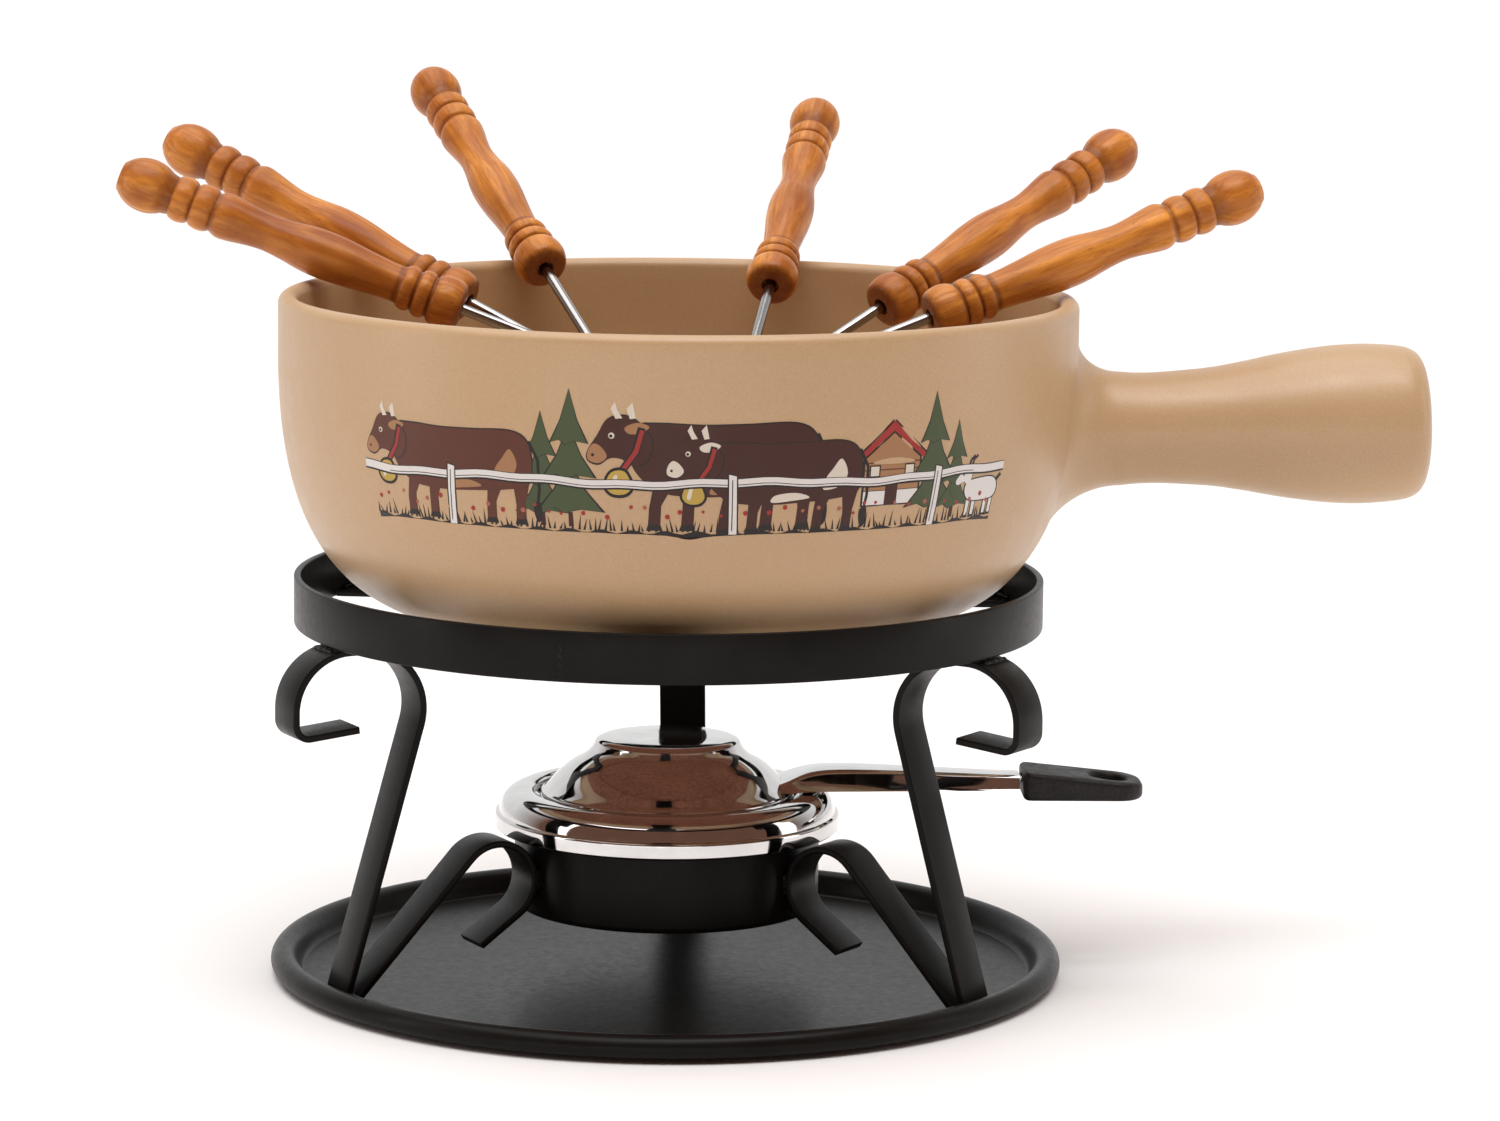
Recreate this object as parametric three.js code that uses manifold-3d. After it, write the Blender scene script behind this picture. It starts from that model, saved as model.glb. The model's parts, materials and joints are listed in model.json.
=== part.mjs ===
// Fondue pot set: tray, wrought stand, spirit burner, ceramic pot and six forks.
// Millimetres, +Z up. The origin is the centre of the tray's flat underside, +X runs along the
// pot's handle and +Y away from the decorated side of the pot.
import * as THREE from "three";
import { mergeVertices } from "three/addons/utils/BufferGeometryUtils.js";
import Module from "manifold-3d";

const wasm = await Module();
wasm.setup();

// ---------------------------------------------------------------- driving dimensions
const GAP = 0.3; // clearance between pieces that rest on each other
const SMOOTH = 48; // steps round the large turned pieces
const MEDIUM = 32; // steps round the burner
const FINE = 10; // steps round a fork

const TRAY_R = 115.5; // outside radius of the rolled rim
const TRAY_FLOOR_R = 105.6; // radius of the flat floor
const TRAY_H = 7.6; // height of the rim's crest
const TRAY_T = 0.9; // sheet thickness
const TRAY_ROLL_R = 3.6; // radius of the roll outside the crest

const STRIP_W = 14; // width of the flat strip that the stand is bent from
const STRIP_T = 2; // its thickness
const RING_R = 108.7; // outside radius of the ring
const RING_Z = 103.3; // height of its lower edge
const STAND_TURN = -3; // how the stand is turned on the tray, degrees
const LEG_AZIMUTHS = { back: 90, left: 210, right: 330 };
const REST_AZIMUTHS = { right: 30, left: 150, front: 270 };
const REST_INNER = 50; // how far from the middle a pot rest begins

const HOLDER_R = 44.5; // outside radius of the burner holder
const HOLDER_Z = 19.8; // its underside
const HOLDER_H = 22;
const HOLDER_T = 1;

const SHEET_T = 0.8; // sheet thickness of the burner
const COVER_R = 50.3; // outside radius of the chrome skirt
const COVER_Z = 42.8; // lower edge of the skirt
const COVER_TOP = 54; // top of its rounded shoulder
const SEAT_R = 38; // radius of the sunk seat that the lid stands in
const SEAT_Z = 50.2; // height of that seat
const FLAME_R = 27.2; // radius of the flame opening
const NECK_TOP = 55; // top of the neck round the flame opening
const REGULATOR_R = 37.2;
const LID_Z = 52.3; // lower edge of the lid
const LID_TOP = 69;
const LID_T = 0.85;
const ARM_AZIMUTH = 1; // where the lid's arm points, degrees
const ARM_Z = 54.5; // underside of the arm
const ARM_END = 102.8; // where the pressed arm ends and its tang begins
const GRIP_START = 103.6;
const GRIP_L = 35.4;
const GRIP_W = 20;
const GRIP_Z = 52;

const POT_X = 2.2; // the pot stands a little to one side in the ring
const POT_R = 115.1; // outside radius of the pot
const POT_Z = RING_Z + STRIP_T + GAP; // underside of its foot
const POT_TOP = 198.7;
const POT_WALL = 5.6;
const FOOT_R = 61; // radius of the flat foot
const POT_HANDLE_END = 218.9 - POT_X;
const POT_HANDLE_Z = 160.4;
const POT_HANDLE_RISE = 1.7; // degrees

const FORK_HANDLE_L = 107;
const FORK_L = 273.5; // from the wooden butt to the tips
const FORK_SHAFT_R = 1.6;
const TANG_R = 1.15;
const TANG_L = 34;
const TINE_L = 30;
const TINE_PITCH = 3.6;
// Where each fork leans: its butt, the compass heading of its shaft and its dive, in degrees.
const FORKS = [
  { butt: [-161.2, 29.3, 228.9], heading: -3, dive: 20.7 },
  { butt: [-151.4, 74.9, 236.5], heading: -19.7, dive: 24.9 },
  { butt: [-78.5, 166.2, 250.1], heading: -64.5, dive: 29.4 },
  { butt: [46.4, 168.7, 241.1], heading: -100, dive: 26.2 },
  { butt: [139.6, 99.6, 236.4], heading: -143.1, dive: 25 },
  { butt: [170.5, 20.5, 229.2], heading: -163.1, dive: 19.6 },
];

// ---------------------------------------------------------------- materials
function finish(color, roughness, metalness) {
  return new THREE.MeshStandardMaterial({ color, roughness, metalness });
}
const BLACK_PAINT = [0x1c1a18, 0.45, 0.3];
const CHROME = [0xc9c6c4, 0.08, 1];
const STEEL = [0xb4b2ae, 0.3, 1];
const GLAZE = [0xb59b78, 0.5, 0];
const WOOD = [0xa65a1c, 0.45, 0];
const PLASTIC = [0x1b1817, 0.6, 0];
const WADDING = [0xd8d2c4, 0.95, 0];

// ---------------------------------------------------------------- geometry helpers
const radians = THREE.MathUtils.degToRad;

// A solid from a closed three.js geometry, without its zero-area triangles.
function solidOf(geometry) {
  const bare = geometry.clone();
  for (const name of Object.keys(bare.attributes)) {
    if (name !== "position") bare.deleteAttribute(name);
  }
  const merged = mergeVertices(bare, 1e-4);
  const index = merged.index.array;
  const kept = [];
  for (let i = 0; i < index.length; i += 3) {
    const [a, b, c] = index.slice(i, i + 3);
    if (a !== b && b !== c && c !== a) kept.push(a, b, c);
  }
  const made = new wasm.Mesh({
    numProp: 3,
    vertProperties: merged.attributes.position.array,
    triVerts: new Uint32Array(kept),
  });
  return new wasm.Manifold(made);
}

function geometryOf(solid) {
  const made = solid.getMesh();
  const geometry = new THREE.BufferGeometry();
  geometry.setAttribute("position", new THREE.BufferAttribute(made.vertProperties, 3));
  geometry.setIndex(new THREE.BufferAttribute(made.triVerts, 1));
  geometry.computeVertexNormals();
  return geometry;
}

function piece(name, geometry, look) {
  const mesh = new THREE.Mesh(geometry, finish(...look));
  mesh.name = name;
  return mesh;
}

// Turns a profile of [radius, height] points about Z. The profile starts and ends on the axis, or
// closes on itself.
function turned(profile, steps) {
  const onAxis = profile[0][0] === 0;
  const loop = onAxis ? profile : [...profile, profile[0]];
  let area = 0;
  for (let i = 0; i < loop.length - 1; i += 1) {
    area += loop[i][0] * loop[i + 1][1] - loop[i + 1][0] * loop[i][1];
  }
  const points = loop.map(([r, z]) => new THREE.Vector2(r, z));
  if (area < 0) points.reverse();
  return new THREE.LatheGeometry(points, steps).rotateX(Math.PI / 2);
}

// Points on an arc, angles in degrees.
function arc([cx, cy], radius, from, to, steps) {
  const points = [];
  for (let i = 0; i <= steps; i += 1) {
    const angle = radians(from + ((to - from) * i) / steps);
    points.push([cx + radius * Math.cos(angle), cy + radius * Math.sin(angle)]);
  }
  return points;
}

function bezier(a, b, c, d, steps) {
  const vector = ([x, y]) => new THREE.Vector2(x, y);
  const curve = new THREE.CubicBezierCurve(vector(a), vector(b), vector(c), vector(d));
  return curve.getPoints(steps).map((p) => [p.x, p.y]);
}

function spline(points, steps) {
  const curve = new THREE.SplineCurve(points.map(([x, y]) => new THREE.Vector2(x, y)));
  return curve.getPoints(steps).map((p) => [p.x, p.y]);
}

function outline(points) {
  return new THREE.Shape(points.map(([x, y]) => new THREE.Vector2(x, y)));
}

// A flat plate of the given outline, lying from z to z + thickness.
function plate(shape, z, thickness) {
  const flat = { depth: thickness, bevelEnabled: false, curveSegments: 16 };
  return new THREE.ExtrudeGeometry(shape, flat).translate(0, 0, z);
}

// A bar along X whose ends are the same kind of polygon: rows of [y, z] corners at x0 and x1.
function lofted(x0, rowA, x1, rowB) {
  const count = rowA.length;
  const positions = [];
  rowA.forEach(([y, z]) => positions.push(x0, y, z));
  rowB.forEach(([y, z]) => positions.push(x1, y, z));
  const index = [];
  for (let i = 0; i < count; i += 1) {
    const next = (i + 1) % count;
    index.push(i, next, count + next, i, count + next, count + i);
  }
  for (let i = 1; i < count - 1; i += 1) {
    index.push(0, i + 1, i, count, count + i, count + i + 1);
  }
  const geometry = new THREE.BufferGeometry();
  geometry.setAttribute("position", new THREE.Float32BufferAttribute(positions, 3));
  geometry.setIndex(index);
  return geometry;
}

// Walks a bent strip's centre line: straight runs and tangent bends, like a pen on paper.
class Bender {
  constructor(x, y, heading) {
    Object.assign(this, { x, y, heading });
    this.points = [[x, y]];
  }

  run(length) {
    this.x += length * Math.cos(radians(this.heading));
    this.y += length * Math.sin(radians(this.heading));
    this.points.push([this.x, this.y]);
    return this;
  }

  bend(radius, angle, steps) {
    const side = Math.sign(angle);
    const across = radians(this.heading + 90 * side);
    const centre = [this.x + radius * Math.cos(across), this.y + radius * Math.sin(across)];
    const start = this.heading - 90 * side;
    const swept = arc(centre, radius, start, start + angle, steps).slice(1);
    this.points.push(...swept);
    [this.x, this.y] = swept.at(-1);
    this.heading += angle;
    return this;
  }
}

// The outline of a strip of even thickness along a centre line.
function stripOutline(line, thickness) {
  const near = [];
  const far = [];
  line.forEach(([x, y], i) => {
    const [ax, ay] = line[Math.max(i - 1, 0)];
    const [bx, by] = line[Math.min(i + 1, line.length - 1)];
    const length = Math.hypot(bx - ax, by - ay);
    const [nx, ny] = [-(by - ay) / length, (bx - ax) / length];
    near.push([x + (nx * thickness) / 2, y + (ny * thickness) / 2]);
    far.unshift([x - (nx * thickness) / 2, y - (ny * thickness) / 2]);
  });
  return outline([...near, ...far]);
}

// ---------------------------------------------------------------- tray
// The floor turns up in a cove to a rounded crest, and the edge is rolled out and down from there.
function tray() {
  const crest = TRAY_R - TRAY_ROLL_R;
  const centre = [crest, TRAY_H - TRAY_ROLL_R];
  const cove = (floor, top, inset) =>
    bezier([floor, inset], [floor + 2.4, inset], [crest - 5, top], [crest, top], 6);
  const profile = [
    [0, TRAY_T],
    ...cove(TRAY_FLOOR_R, TRAY_H, TRAY_T),
    ...arc(centre, TRAY_ROLL_R, 75, -40, 5),
    ...arc(centre, TRAY_ROLL_R - TRAY_T, -40, 75, 5),
    ...cove(TRAY_FLOOR_R + 0.6, TRAY_H - TRAY_T, 0).reverse(),
    [0, 0],
  ];
  return piece("tray", turned(profile, SMOOTH), BLACK_PAINT);
}

// ---------------------------------------------------------------- stand
function standRing() {
  const inner = RING_R - STRIP_T;
  const top = RING_Z + STRIP_W;
  const section = [
    [inner, RING_Z],
    [RING_R, RING_Z],
    [RING_R, top],
    [inner, top],
  ];
  return piece("stand_ring", turned(section, SMOOTH), BLACK_PAINT);
}

// One leg is a single strip. From its free end it curls up and over under the ring, runs down to
// the tray, folds back up there and curls round the burner's holder.
function legLine() {
  const strip = new Bender(100.7, 79.7, -5.4);
  strip.run(14.7).bend(4, 95.4, 5).run(3.2).bend(16.5, 90, 8).run(4.9);
  strip.bend(17.4, 106.4, 9).run(78.1).bend(2, -153.1, 5);
  strip.run(50.4).bend(11.5, 191.7, 10).run(14.5);
  return strip.points;
}

function leg(name, azimuth) {
  const flat = { depth: STRIP_W, bevelEnabled: false };
  const strip = new THREE.ExtrudeGeometry(stripOutline(legLine(), STRIP_T), flat);
  strip.rotateX(Math.PI / 2).translate(0, STRIP_W / 2, 0);
  const made = piece(name, strip, BLACK_PAINT);
  made.rotation.z = radians(azimuth);
  return made;
}

// A tab of the same strip, spread where it is welded inside the ring, carries the pot's foot.
function potRest(name, azimuth) {
  const half = STRIP_W / 2;
  const spreadFrom = 76;
  const root = 101;
  const spread = half + (root - spreadFrom) * Math.tan(radians(30));
  const reach = RING_R - STRIP_T - 2 * GAP;
  const rootAngle = (Math.asin(spread / reach) * 180) / Math.PI;
  const corners = [
    [REST_INNER, -half],
    [spreadFrom, -half],
    ...arc([0, 0], reach, -rootAngle, rootAngle, 6),
    [spreadFrom, half],
    [REST_INNER, half],
  ];
  const tab = piece(name, plate(outline(corners), RING_Z, STRIP_T), BLACK_PAINT);
  tab.rotation.z = radians(azimuth);
  return tab;
}

function burnerHolder() {
  const top = HOLDER_Z + HOLDER_H;
  const inner = HOLDER_R - HOLDER_T;
  const profile = [
    [0, HOLDER_Z],
    [HOLDER_R - 1.2, HOLDER_Z],
    [HOLDER_R, HOLDER_Z + 1.2],
    [HOLDER_R, top],
    [inner, top],
    [inner, HOLDER_Z + HOLDER_T],
    [0, HOLDER_Z + HOLDER_T],
  ];
  return piece("burner_holder", turned(profile, MEDIUM), BLACK_PAINT);
}

function stand() {
  const group = new THREE.Group();
  group.add(standRing(), burnerHolder());
  for (const [side, azimuth] of Object.entries(LEG_AZIMUTHS)) {
    group.add(leg("leg_" + side, azimuth));
  }
  for (const [side, azimuth] of Object.entries(REST_AZIMUTHS)) {
    group.add(potRest("pot_rest_" + side, azimuth));
  }
  group.rotation.z = radians(STAND_TURN);
  return group;
}

// ---------------------------------------------------------------- burner
const BOWL_Z = HOLDER_Z + HOLDER_T + GAP;
const BOWL_TOP = SEAT_Z - SHEET_T - GAP;
const BOWL_R = HOLDER_R - HOLDER_T - GAP;

function burnerBowl() {
  const inner = BOWL_R - SHEET_T;
  const profile = [
    [0, BOWL_Z],
    [BOWL_R - 1, BOWL_Z],
    [BOWL_R, BOWL_Z + 1],
    [BOWL_R, BOWL_TOP],
    [inner, BOWL_TOP],
    [inner, BOWL_Z + SHEET_T],
    [0, BOWL_Z + SHEET_T],
  ];
  return piece("burner_bowl", turned(profile, MEDIUM), STEEL);
}

// Mineral wool soaks up the spirit; the gauze holds it down.
const WADDING_TOP = 45.4;
function burnerWadding() {
  const bottom = BOWL_Z + SHEET_T + GAP;
  const r = BOWL_R - SHEET_T - GAP;
  const profile = [
    [0, bottom],
    [r, bottom],
    [r, WADDING_TOP],
    [0, WADDING_TOP],
  ];
  return piece("burner_wadding", turned(profile, MEDIUM), WADDING);
}

function burnerGauze() {
  const bottom = WADDING_TOP + GAP;
  const r = BOWL_R - SHEET_T - GAP;
  const profile = [
    [0, bottom],
    [r, bottom],
    [r, bottom + 0.8],
    [0, bottom + 0.8],
  ];
  return piece("burner_gauze", turned(profile, MEDIUM), STEEL);
}

// The skirt, its rounded shoulder, the sunk seat and the neck are one pressed cover.
function burnerCover() {
  const face = (inset) => [
    [COVER_R - inset, COVER_Z],
    [COVER_R - inset, 46.8],
    ...bezier(
      [COVER_R - inset, 47.4],
      [COVER_R - 0.6 - inset, 52],
      [46.4, COVER_TOP - inset],
      [SEAT_R + 2.2, COVER_TOP - inset],
      6,
    ),
    [SEAT_R + inset, COVER_TOP - 1.6],
    [SEAT_R + inset, SEAT_Z - inset],
    [FLAME_R + SHEET_T - inset, SEAT_Z - inset],
    [FLAME_R + SHEET_T - inset, NECK_TOP],
  ];
  const profile = [...face(0), ...face(SHEET_T).reverse()];
  return piece("burner_cover", turned(profile, MEDIUM), CHROME);
}

function regulatorRing() {
  const bottom = SEAT_Z + GAP;
  const flange = LID_Z - GAP;
  const inner = FLAME_R + SHEET_T + GAP;
  const upstand = inner + 1;
  const profile = [
    [inner, bottom],
    [REGULATOR_R, bottom],
    [REGULATOR_R, flange],
    [upstand, flange],
    [upstand, flange + 4],
    [inner, flange + 4],
  ];
  return piece("regulator_ring", turned(profile, MEDIUM), CHROME);
}

// The lid's outer face from the middle of its flat top to its lower edge: a disc, a waist and a
// dome. inset moves the face inwards for the lid's underside.
function lidFace(inset) {
  const shape = [
    [21.2, LID_TOP - 0.7],
    [22.1, 66.6],
    [24.3, 63.8],
    [27.4, 61.7],
    [31.5, 58.4],
    [36.2, 54.4],
    [36.9, LID_Z],
  ];
  const face = spline(
    shape.map(([r, z], i) => [r - inset, z - (i < shape.length - 1 ? inset * 0.6 : 0)]),
    10,
  );
  return [[0, LID_TOP - inset], [19.6 - inset, LID_TOP - inset], ...face];
}

// The arm is a pressed channel, wider and deeper at the lid.
function armSolid() {
  const section = (bottom, top, bottomHalf, topHalf) => [
    [-bottomHalf, bottom],
    [bottomHalf, bottom],
    [topHalf, top],
    [-topHalf, top],
  ];
  const root = 24;
  const deep = ARM_Z - 1;
  const outside = solidOf(
    lofted(root, section(ARM_Z, 60.6, 9.2, 6.2), ARM_END, section(ARM_Z, 58.8, 6, 4.2)),
  );
  const inside = solidOf(
    lofted(39, section(deep, 59.2, 8, 5.2), ARM_END + 1, section(deep, 57.8, 5, 3.4)),
  );
  const tang = solidOf(new THREE.BoxGeometry(18, 6, 1.2).translate(ARM_END + 8, 0, 57.4));
  const under = solidOf(turned([...lidFace(LID_T), [0, LID_Z]], MEDIUM));
  return outside.subtract(inside).subtract(under).add(tang);
}

function burnerLid() {
  const dome = solidOf(turned([...lidFace(0), ...lidFace(LID_T).reverse()], MEDIUM));
  return piece("burner_lid", geometryOf(dome.add(armSolid())), CHROME);
}

// The grip's outline is a rounded paddle with a hanging hole; it grows thinner towards its end.
const GRIP_HOLE_R = 5.4;
function lidGrip() {
  const half = GRIP_W / 2;
  const front = 3;
  const corner = 7.5;
  const end = GRIP_START + GRIP_L;
  const shape = outline([
    ...arc([GRIP_START + front, front - half], front, 180, 270, 3),
    ...arc([end - corner, corner - half], corner, 270, 360, 6),
    ...arc([end - corner, half - corner], corner, 0, 90, 6),
    ...arc([GRIP_START + front, half - front], front, 90, 180, 3),
  ]);
  const hole = new THREE.Path();
  hole.absarc(end - 10, 0, GRIP_HOLE_R, 0, 2 * Math.PI, true);
  shape.holes.push(hole);
  const block = solidOf(plate(shape, GRIP_Z, 12));
  const side = (top, topHalf) => [
    [-half, GRIP_Z + 1.2],
    [1.2 - half, GRIP_Z],
    [half - 1.2, GRIP_Z],
    [half, GRIP_Z + 1.2],
    [half, top - 2],
    [topHalf, top],
    [-topHalf, top],
    [-half, top - 2],
  ];
  const wedge = solidOf(lofted(GRIP_START - 1, side(60.6, half - 3), end + 1, side(57, half - 3)));
  const slot = solidOf(new THREE.BoxGeometry(18.4, 6.6, 1.8).translate(ARM_END + 8, 0, 57.4));
  return piece("lid_grip", geometryOf(block.intersect(wedge).subtract(slot)), PLASTIC);
}

function burner() {
  const group = new THREE.Group();
  group.add(burnerBowl(), burnerWadding(), burnerGauze(), burnerCover(), regulatorRing());
  const lid = new THREE.Group();
  lid.add(burnerLid(), lidGrip());
  lid.rotation.z = radians(ARM_AZIMUTH);
  group.add(lid);
  return group;
}

// ---------------------------------------------------------------- pot
function bowlSolid() {
  const lip = POT_WALL / 2;
  const lipZ = POT_TOP - lip;
  const floor = POT_Z + 6.9;
  const inner = POT_R - POT_WALL;
  const straight = 180;
  const recess = 1.2;
  const recessR = FOOT_R - 13;
  const profile = [
    [0, POT_Z + recess],
    [recessR, POT_Z + recess],
    [recessR + 1.5, POT_Z],
    ...bezier([FOOT_R, POT_Z], [FOOT_R + 35, POT_Z], [POT_R, 128.4], [POT_R, straight], 11),
    ...arc([POT_R - lip, lipZ], lip, 0, 180, 6),
    ...bezier([inner, straight], [inner, 131], [FOOT_R + 29, floor], [FOOT_R - 5, floor], 9),
    [0, floor],
  ];
  return solidOf(turned(profile, SMOOTH));
}

// The hollow handle is turned about its own axis. It flares into the bowl's wall, swells towards
// its end, and is open there.
function handleProfile() {
  const end = POT_HANDLE_END;
  return [
    [100, 0],
    [100, 33],
    [110, 31.5],
    ...spline(
      [
        [113.5, 27.5],
        [117, 22.5],
        [121.7, 17.4],
        [130, 16.1],
        [140, 16.1],
        [152, 17],
        [165, 19],
        [179.5, 21.6],
        [194, 23.05],
        [203, 22.9],
        [end - 8, 22.3],
        [end - 4.5, 21.3],
      ],
      16,
    ),
    [end - 2.6, 20],
    [end - 1, 17.6],
    [end - 0.3, 14.6],
    [end, 12],
  ];
}

const HANDLE_BORE = 10.5;
function hollowProfile() {
  const end = POT_HANDLE_END;
  return [
    [122, 0],
    [124, HANDLE_BORE - 2],
    [140, HANDLE_BORE],
    [180, HANDLE_BORE + 4.5],
    [200, HANDLE_BORE + 5],
    [end - 6, HANDLE_BORE],
    [end + 1, HANDLE_BORE],
    [end + 1, 0],
  ];
}

// Turns a profile of [distance, radius] about X, then lifts it to the handle's height.
function alongHandle(profile, steps) {
  const geometry = turned(
    profile.map(([x, r]) => [r, x]),
    steps,
  );
  geometry.rotateY(Math.PI / 2);
  geometry.translate(-POT_R, 0, 0).rotateY(-radians(POT_HANDLE_RISE));
  return solidOf(geometry.translate(POT_R, 0, POT_HANDLE_Z));
}

function pot() {
  const outside = [...handleProfile(), [POT_HANDLE_END, 0]];
  const steps = 24;
  const lipR = POT_R - POT_WALL;
  const cavity = turned(
    [
      [0, POT_Z + 9],
      [lipR - 3, 130],
      [lipR + 1, 172],
      [lipR + 1, POT_TOP + 5],
      [0, POT_TOP + 5],
    ],
    SMOOTH,
  );
  const handle = alongHandle(outside, steps)
    .subtract(solidOf(cavity))
    .subtract(alongHandle(hollowProfile(), steps / 2));
  const made = piece("pot", geometryOf(bowlSolid().add(handle)), GLAZE);
  made.position.x = POT_X;
  return made;
}

// ---------------------------------------------------------------- forks
// A fork is made along +X from its butt at x = 0, and then turned into place.
function forkHandle(name) {
  const turnedFace = [
    [4.4, 0],
    [7.4, 3.6],
    [8.2, 8.5],
    [7, 13.4],
    [5.8, 16.5],
    [6.9, 19.5],
    [6, 22.8],
    [6.9, 26],
    [5.9, 29.5],
    [6.9, 33],
    [5.4, 46],
    [7.1, 63],
    [5.5, 87],
    [6.8, 90.5],
    [6, 92.8],
    [7.2, 95],
    [6.4, 97.3],
    [8, 102],
    [7, 105.6],
    [5, FORK_HANDLE_L],
  ];
  const bore = TANG_R + GAP;
  const mouth = 2.6;
  const profile = [
    [0, 0],
    ...turnedFace,
    [mouth, FORK_HANDLE_L],
    [mouth, FORK_HANDLE_L - 2],
    [bore, FORK_HANDLE_L - 2],
    [bore, FORK_HANDLE_L - TANG_L - 2],
    [0, FORK_HANDLE_L - TANG_L - 2],
  ];
  return piece(name, turned(profile, FINE).rotateY(Math.PI / 2), WOOD);
}

// Three pointed tines on a flat blade.
function forkBlade() {
  const root = FORK_L - TINE_L - 9;
  const half = TINE_PITCH + 0.9;
  const points = [
    [root, -FORK_SHAFT_R],
    [root + 8, -half],
  ];
  for (const tine of [-1, 0, 1]) {
    const y = tine * TINE_PITCH;
    const notch = root + 12;
    if (tine > -1) points.push([notch, y - 0.9]);
    points.push([FORK_L - 3, y - 0.8], [FORK_L, y], [FORK_L - 3, y + 0.8]);
    if (tine < 1) points.push([notch, y + 0.9]);
  }
  points.push([root + 8, half], [root, FORK_SHAFT_R]);
  return solidOf(plate(outline(points), -0.8, 1.6));
}

function forkShaft(name) {
  const tangStart = FORK_HANDLE_L - TANG_L - 1.7;
  const profile = [
    [0, tangStart],
    [TANG_R, tangStart + 1],
    [TANG_R, FORK_HANDLE_L - 1.6],
    [FORK_SHAFT_R, FORK_HANDLE_L - 1.2],
    [FORK_SHAFT_R, FORK_L - TINE_L - 10],
    [1, FORK_L - TINE_L - 3],
    [0, FORK_L - TINE_L - 1],
  ];
  const rod = solidOf(turned(profile, FINE).rotateY(Math.PI / 2));
  return piece(name, geometryOf(rod.add(forkBlade())), STEEL);
}

function fork(number, { butt, heading, dive }) {
  const group = new THREE.Group();
  group.add(forkHandle("fork_" + number + "_handle"));
  group.add(forkShaft("fork_" + number + "_shaft"));
  group.rotation.set(0, radians(dive), radians(heading), "ZYX");
  group.position.set(...butt);
  return group;
}

// ---------------------------------------------------------------- the set
const set = new THREE.Group();
set.add(tray(), stand(), burner(), pot());
FORKS.forEach((place, i) => set.add(fork(i + 1, place)));

export default set;
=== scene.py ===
"""Fondue pot set: the looks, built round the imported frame.

Shapes are worked out in millimetres and turned into metres when their mesh is made.
"""

import json
import math
import random

import bmesh
import bpy
from mathutils import Matrix, Vector
from mathutils.geometry import delaunay_2d_cdt


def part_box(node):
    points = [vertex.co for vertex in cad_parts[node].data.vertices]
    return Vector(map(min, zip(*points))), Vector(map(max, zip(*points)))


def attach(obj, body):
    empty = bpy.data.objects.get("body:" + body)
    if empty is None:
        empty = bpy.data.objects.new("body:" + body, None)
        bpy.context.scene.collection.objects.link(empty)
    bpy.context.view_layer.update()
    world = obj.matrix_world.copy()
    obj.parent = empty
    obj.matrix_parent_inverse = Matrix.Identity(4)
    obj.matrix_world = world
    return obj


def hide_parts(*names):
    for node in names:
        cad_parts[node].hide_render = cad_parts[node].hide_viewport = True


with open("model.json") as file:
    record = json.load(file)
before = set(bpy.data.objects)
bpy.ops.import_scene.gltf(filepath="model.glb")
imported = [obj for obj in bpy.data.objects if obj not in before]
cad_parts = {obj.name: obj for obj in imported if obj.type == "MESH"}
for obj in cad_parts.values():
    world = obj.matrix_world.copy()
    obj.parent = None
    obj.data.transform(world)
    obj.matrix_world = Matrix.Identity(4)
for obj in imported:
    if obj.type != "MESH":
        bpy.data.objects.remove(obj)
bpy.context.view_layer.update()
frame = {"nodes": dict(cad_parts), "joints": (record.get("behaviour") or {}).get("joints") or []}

MM = 0.001
SHARP_ANGLE = math.radians(38)


# ------------------------------------------------------------------ sizes read from the frame
def box_mm(node):
    low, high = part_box(node)
    return low / MM, high / MM


POT_LOW, POT_HIGH = box_mm("pot")
POT_R = (POT_HIGH.y - POT_LOW.y) / 2  # outside radius of the bowl
POT_X = POT_LOW.x + POT_R  # the bowl's axis
POT_Z = POT_LOW.z  # underside of its foot
POT_TOP = POT_HIGH.z
RING_LOW, RING_HIGH = box_mm("stand_ring")
RING_R = RING_HIGH.x
TRAY_HIGH = box_mm("tray")[1]
HOLDER_LOW, HOLDER_HIGH = box_mm("burner_holder")
COVER_LOW, COVER_HIGH = box_mm("burner_cover")
REGULATOR_LOW, REGULATOR_HIGH = box_mm("regulator_ring")
LID_LOW, LID_HIGH = box_mm("burner_lid")

STAND_TURN = -3  # degrees
LEG_AZIMUTHS = {"back": 90, "left": 210, "right": 330}
REST_AZIMUTHS = {"right": 30, "left": 150, "front": 270}
STRIP_W, STRIP_T = 14, 2
ARM_AZIMUTH = 1
RING_SEAM_AZIMUTH = 254.5
TANG_Z = 57.4  # the lid's tang, which the grip's slot holds


# ------------------------------------------------------------------ curves
def arc(centre, radius, start, end, steps):
    """Points on an arc, angles in degrees."""
    angles = [math.radians(start + (end - start) * i / steps) for i in range(steps + 1)]
    return [(centre[0] + radius * math.cos(a), centre[1] + radius * math.sin(a)) for a in angles]


def bezier(a, b, c, d, steps):
    points = []
    for i in range(steps + 1):
        t = i / steps
        weights = ((1 - t) ** 3, 3 * (1 - t) ** 2 * t, 3 * (1 - t) * t * t, t**3)
        points.append(tuple(sum(w * p[k] for w, p in zip(weights, (a, b, c, d))) for k in range(len(a))))
    return points


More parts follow.
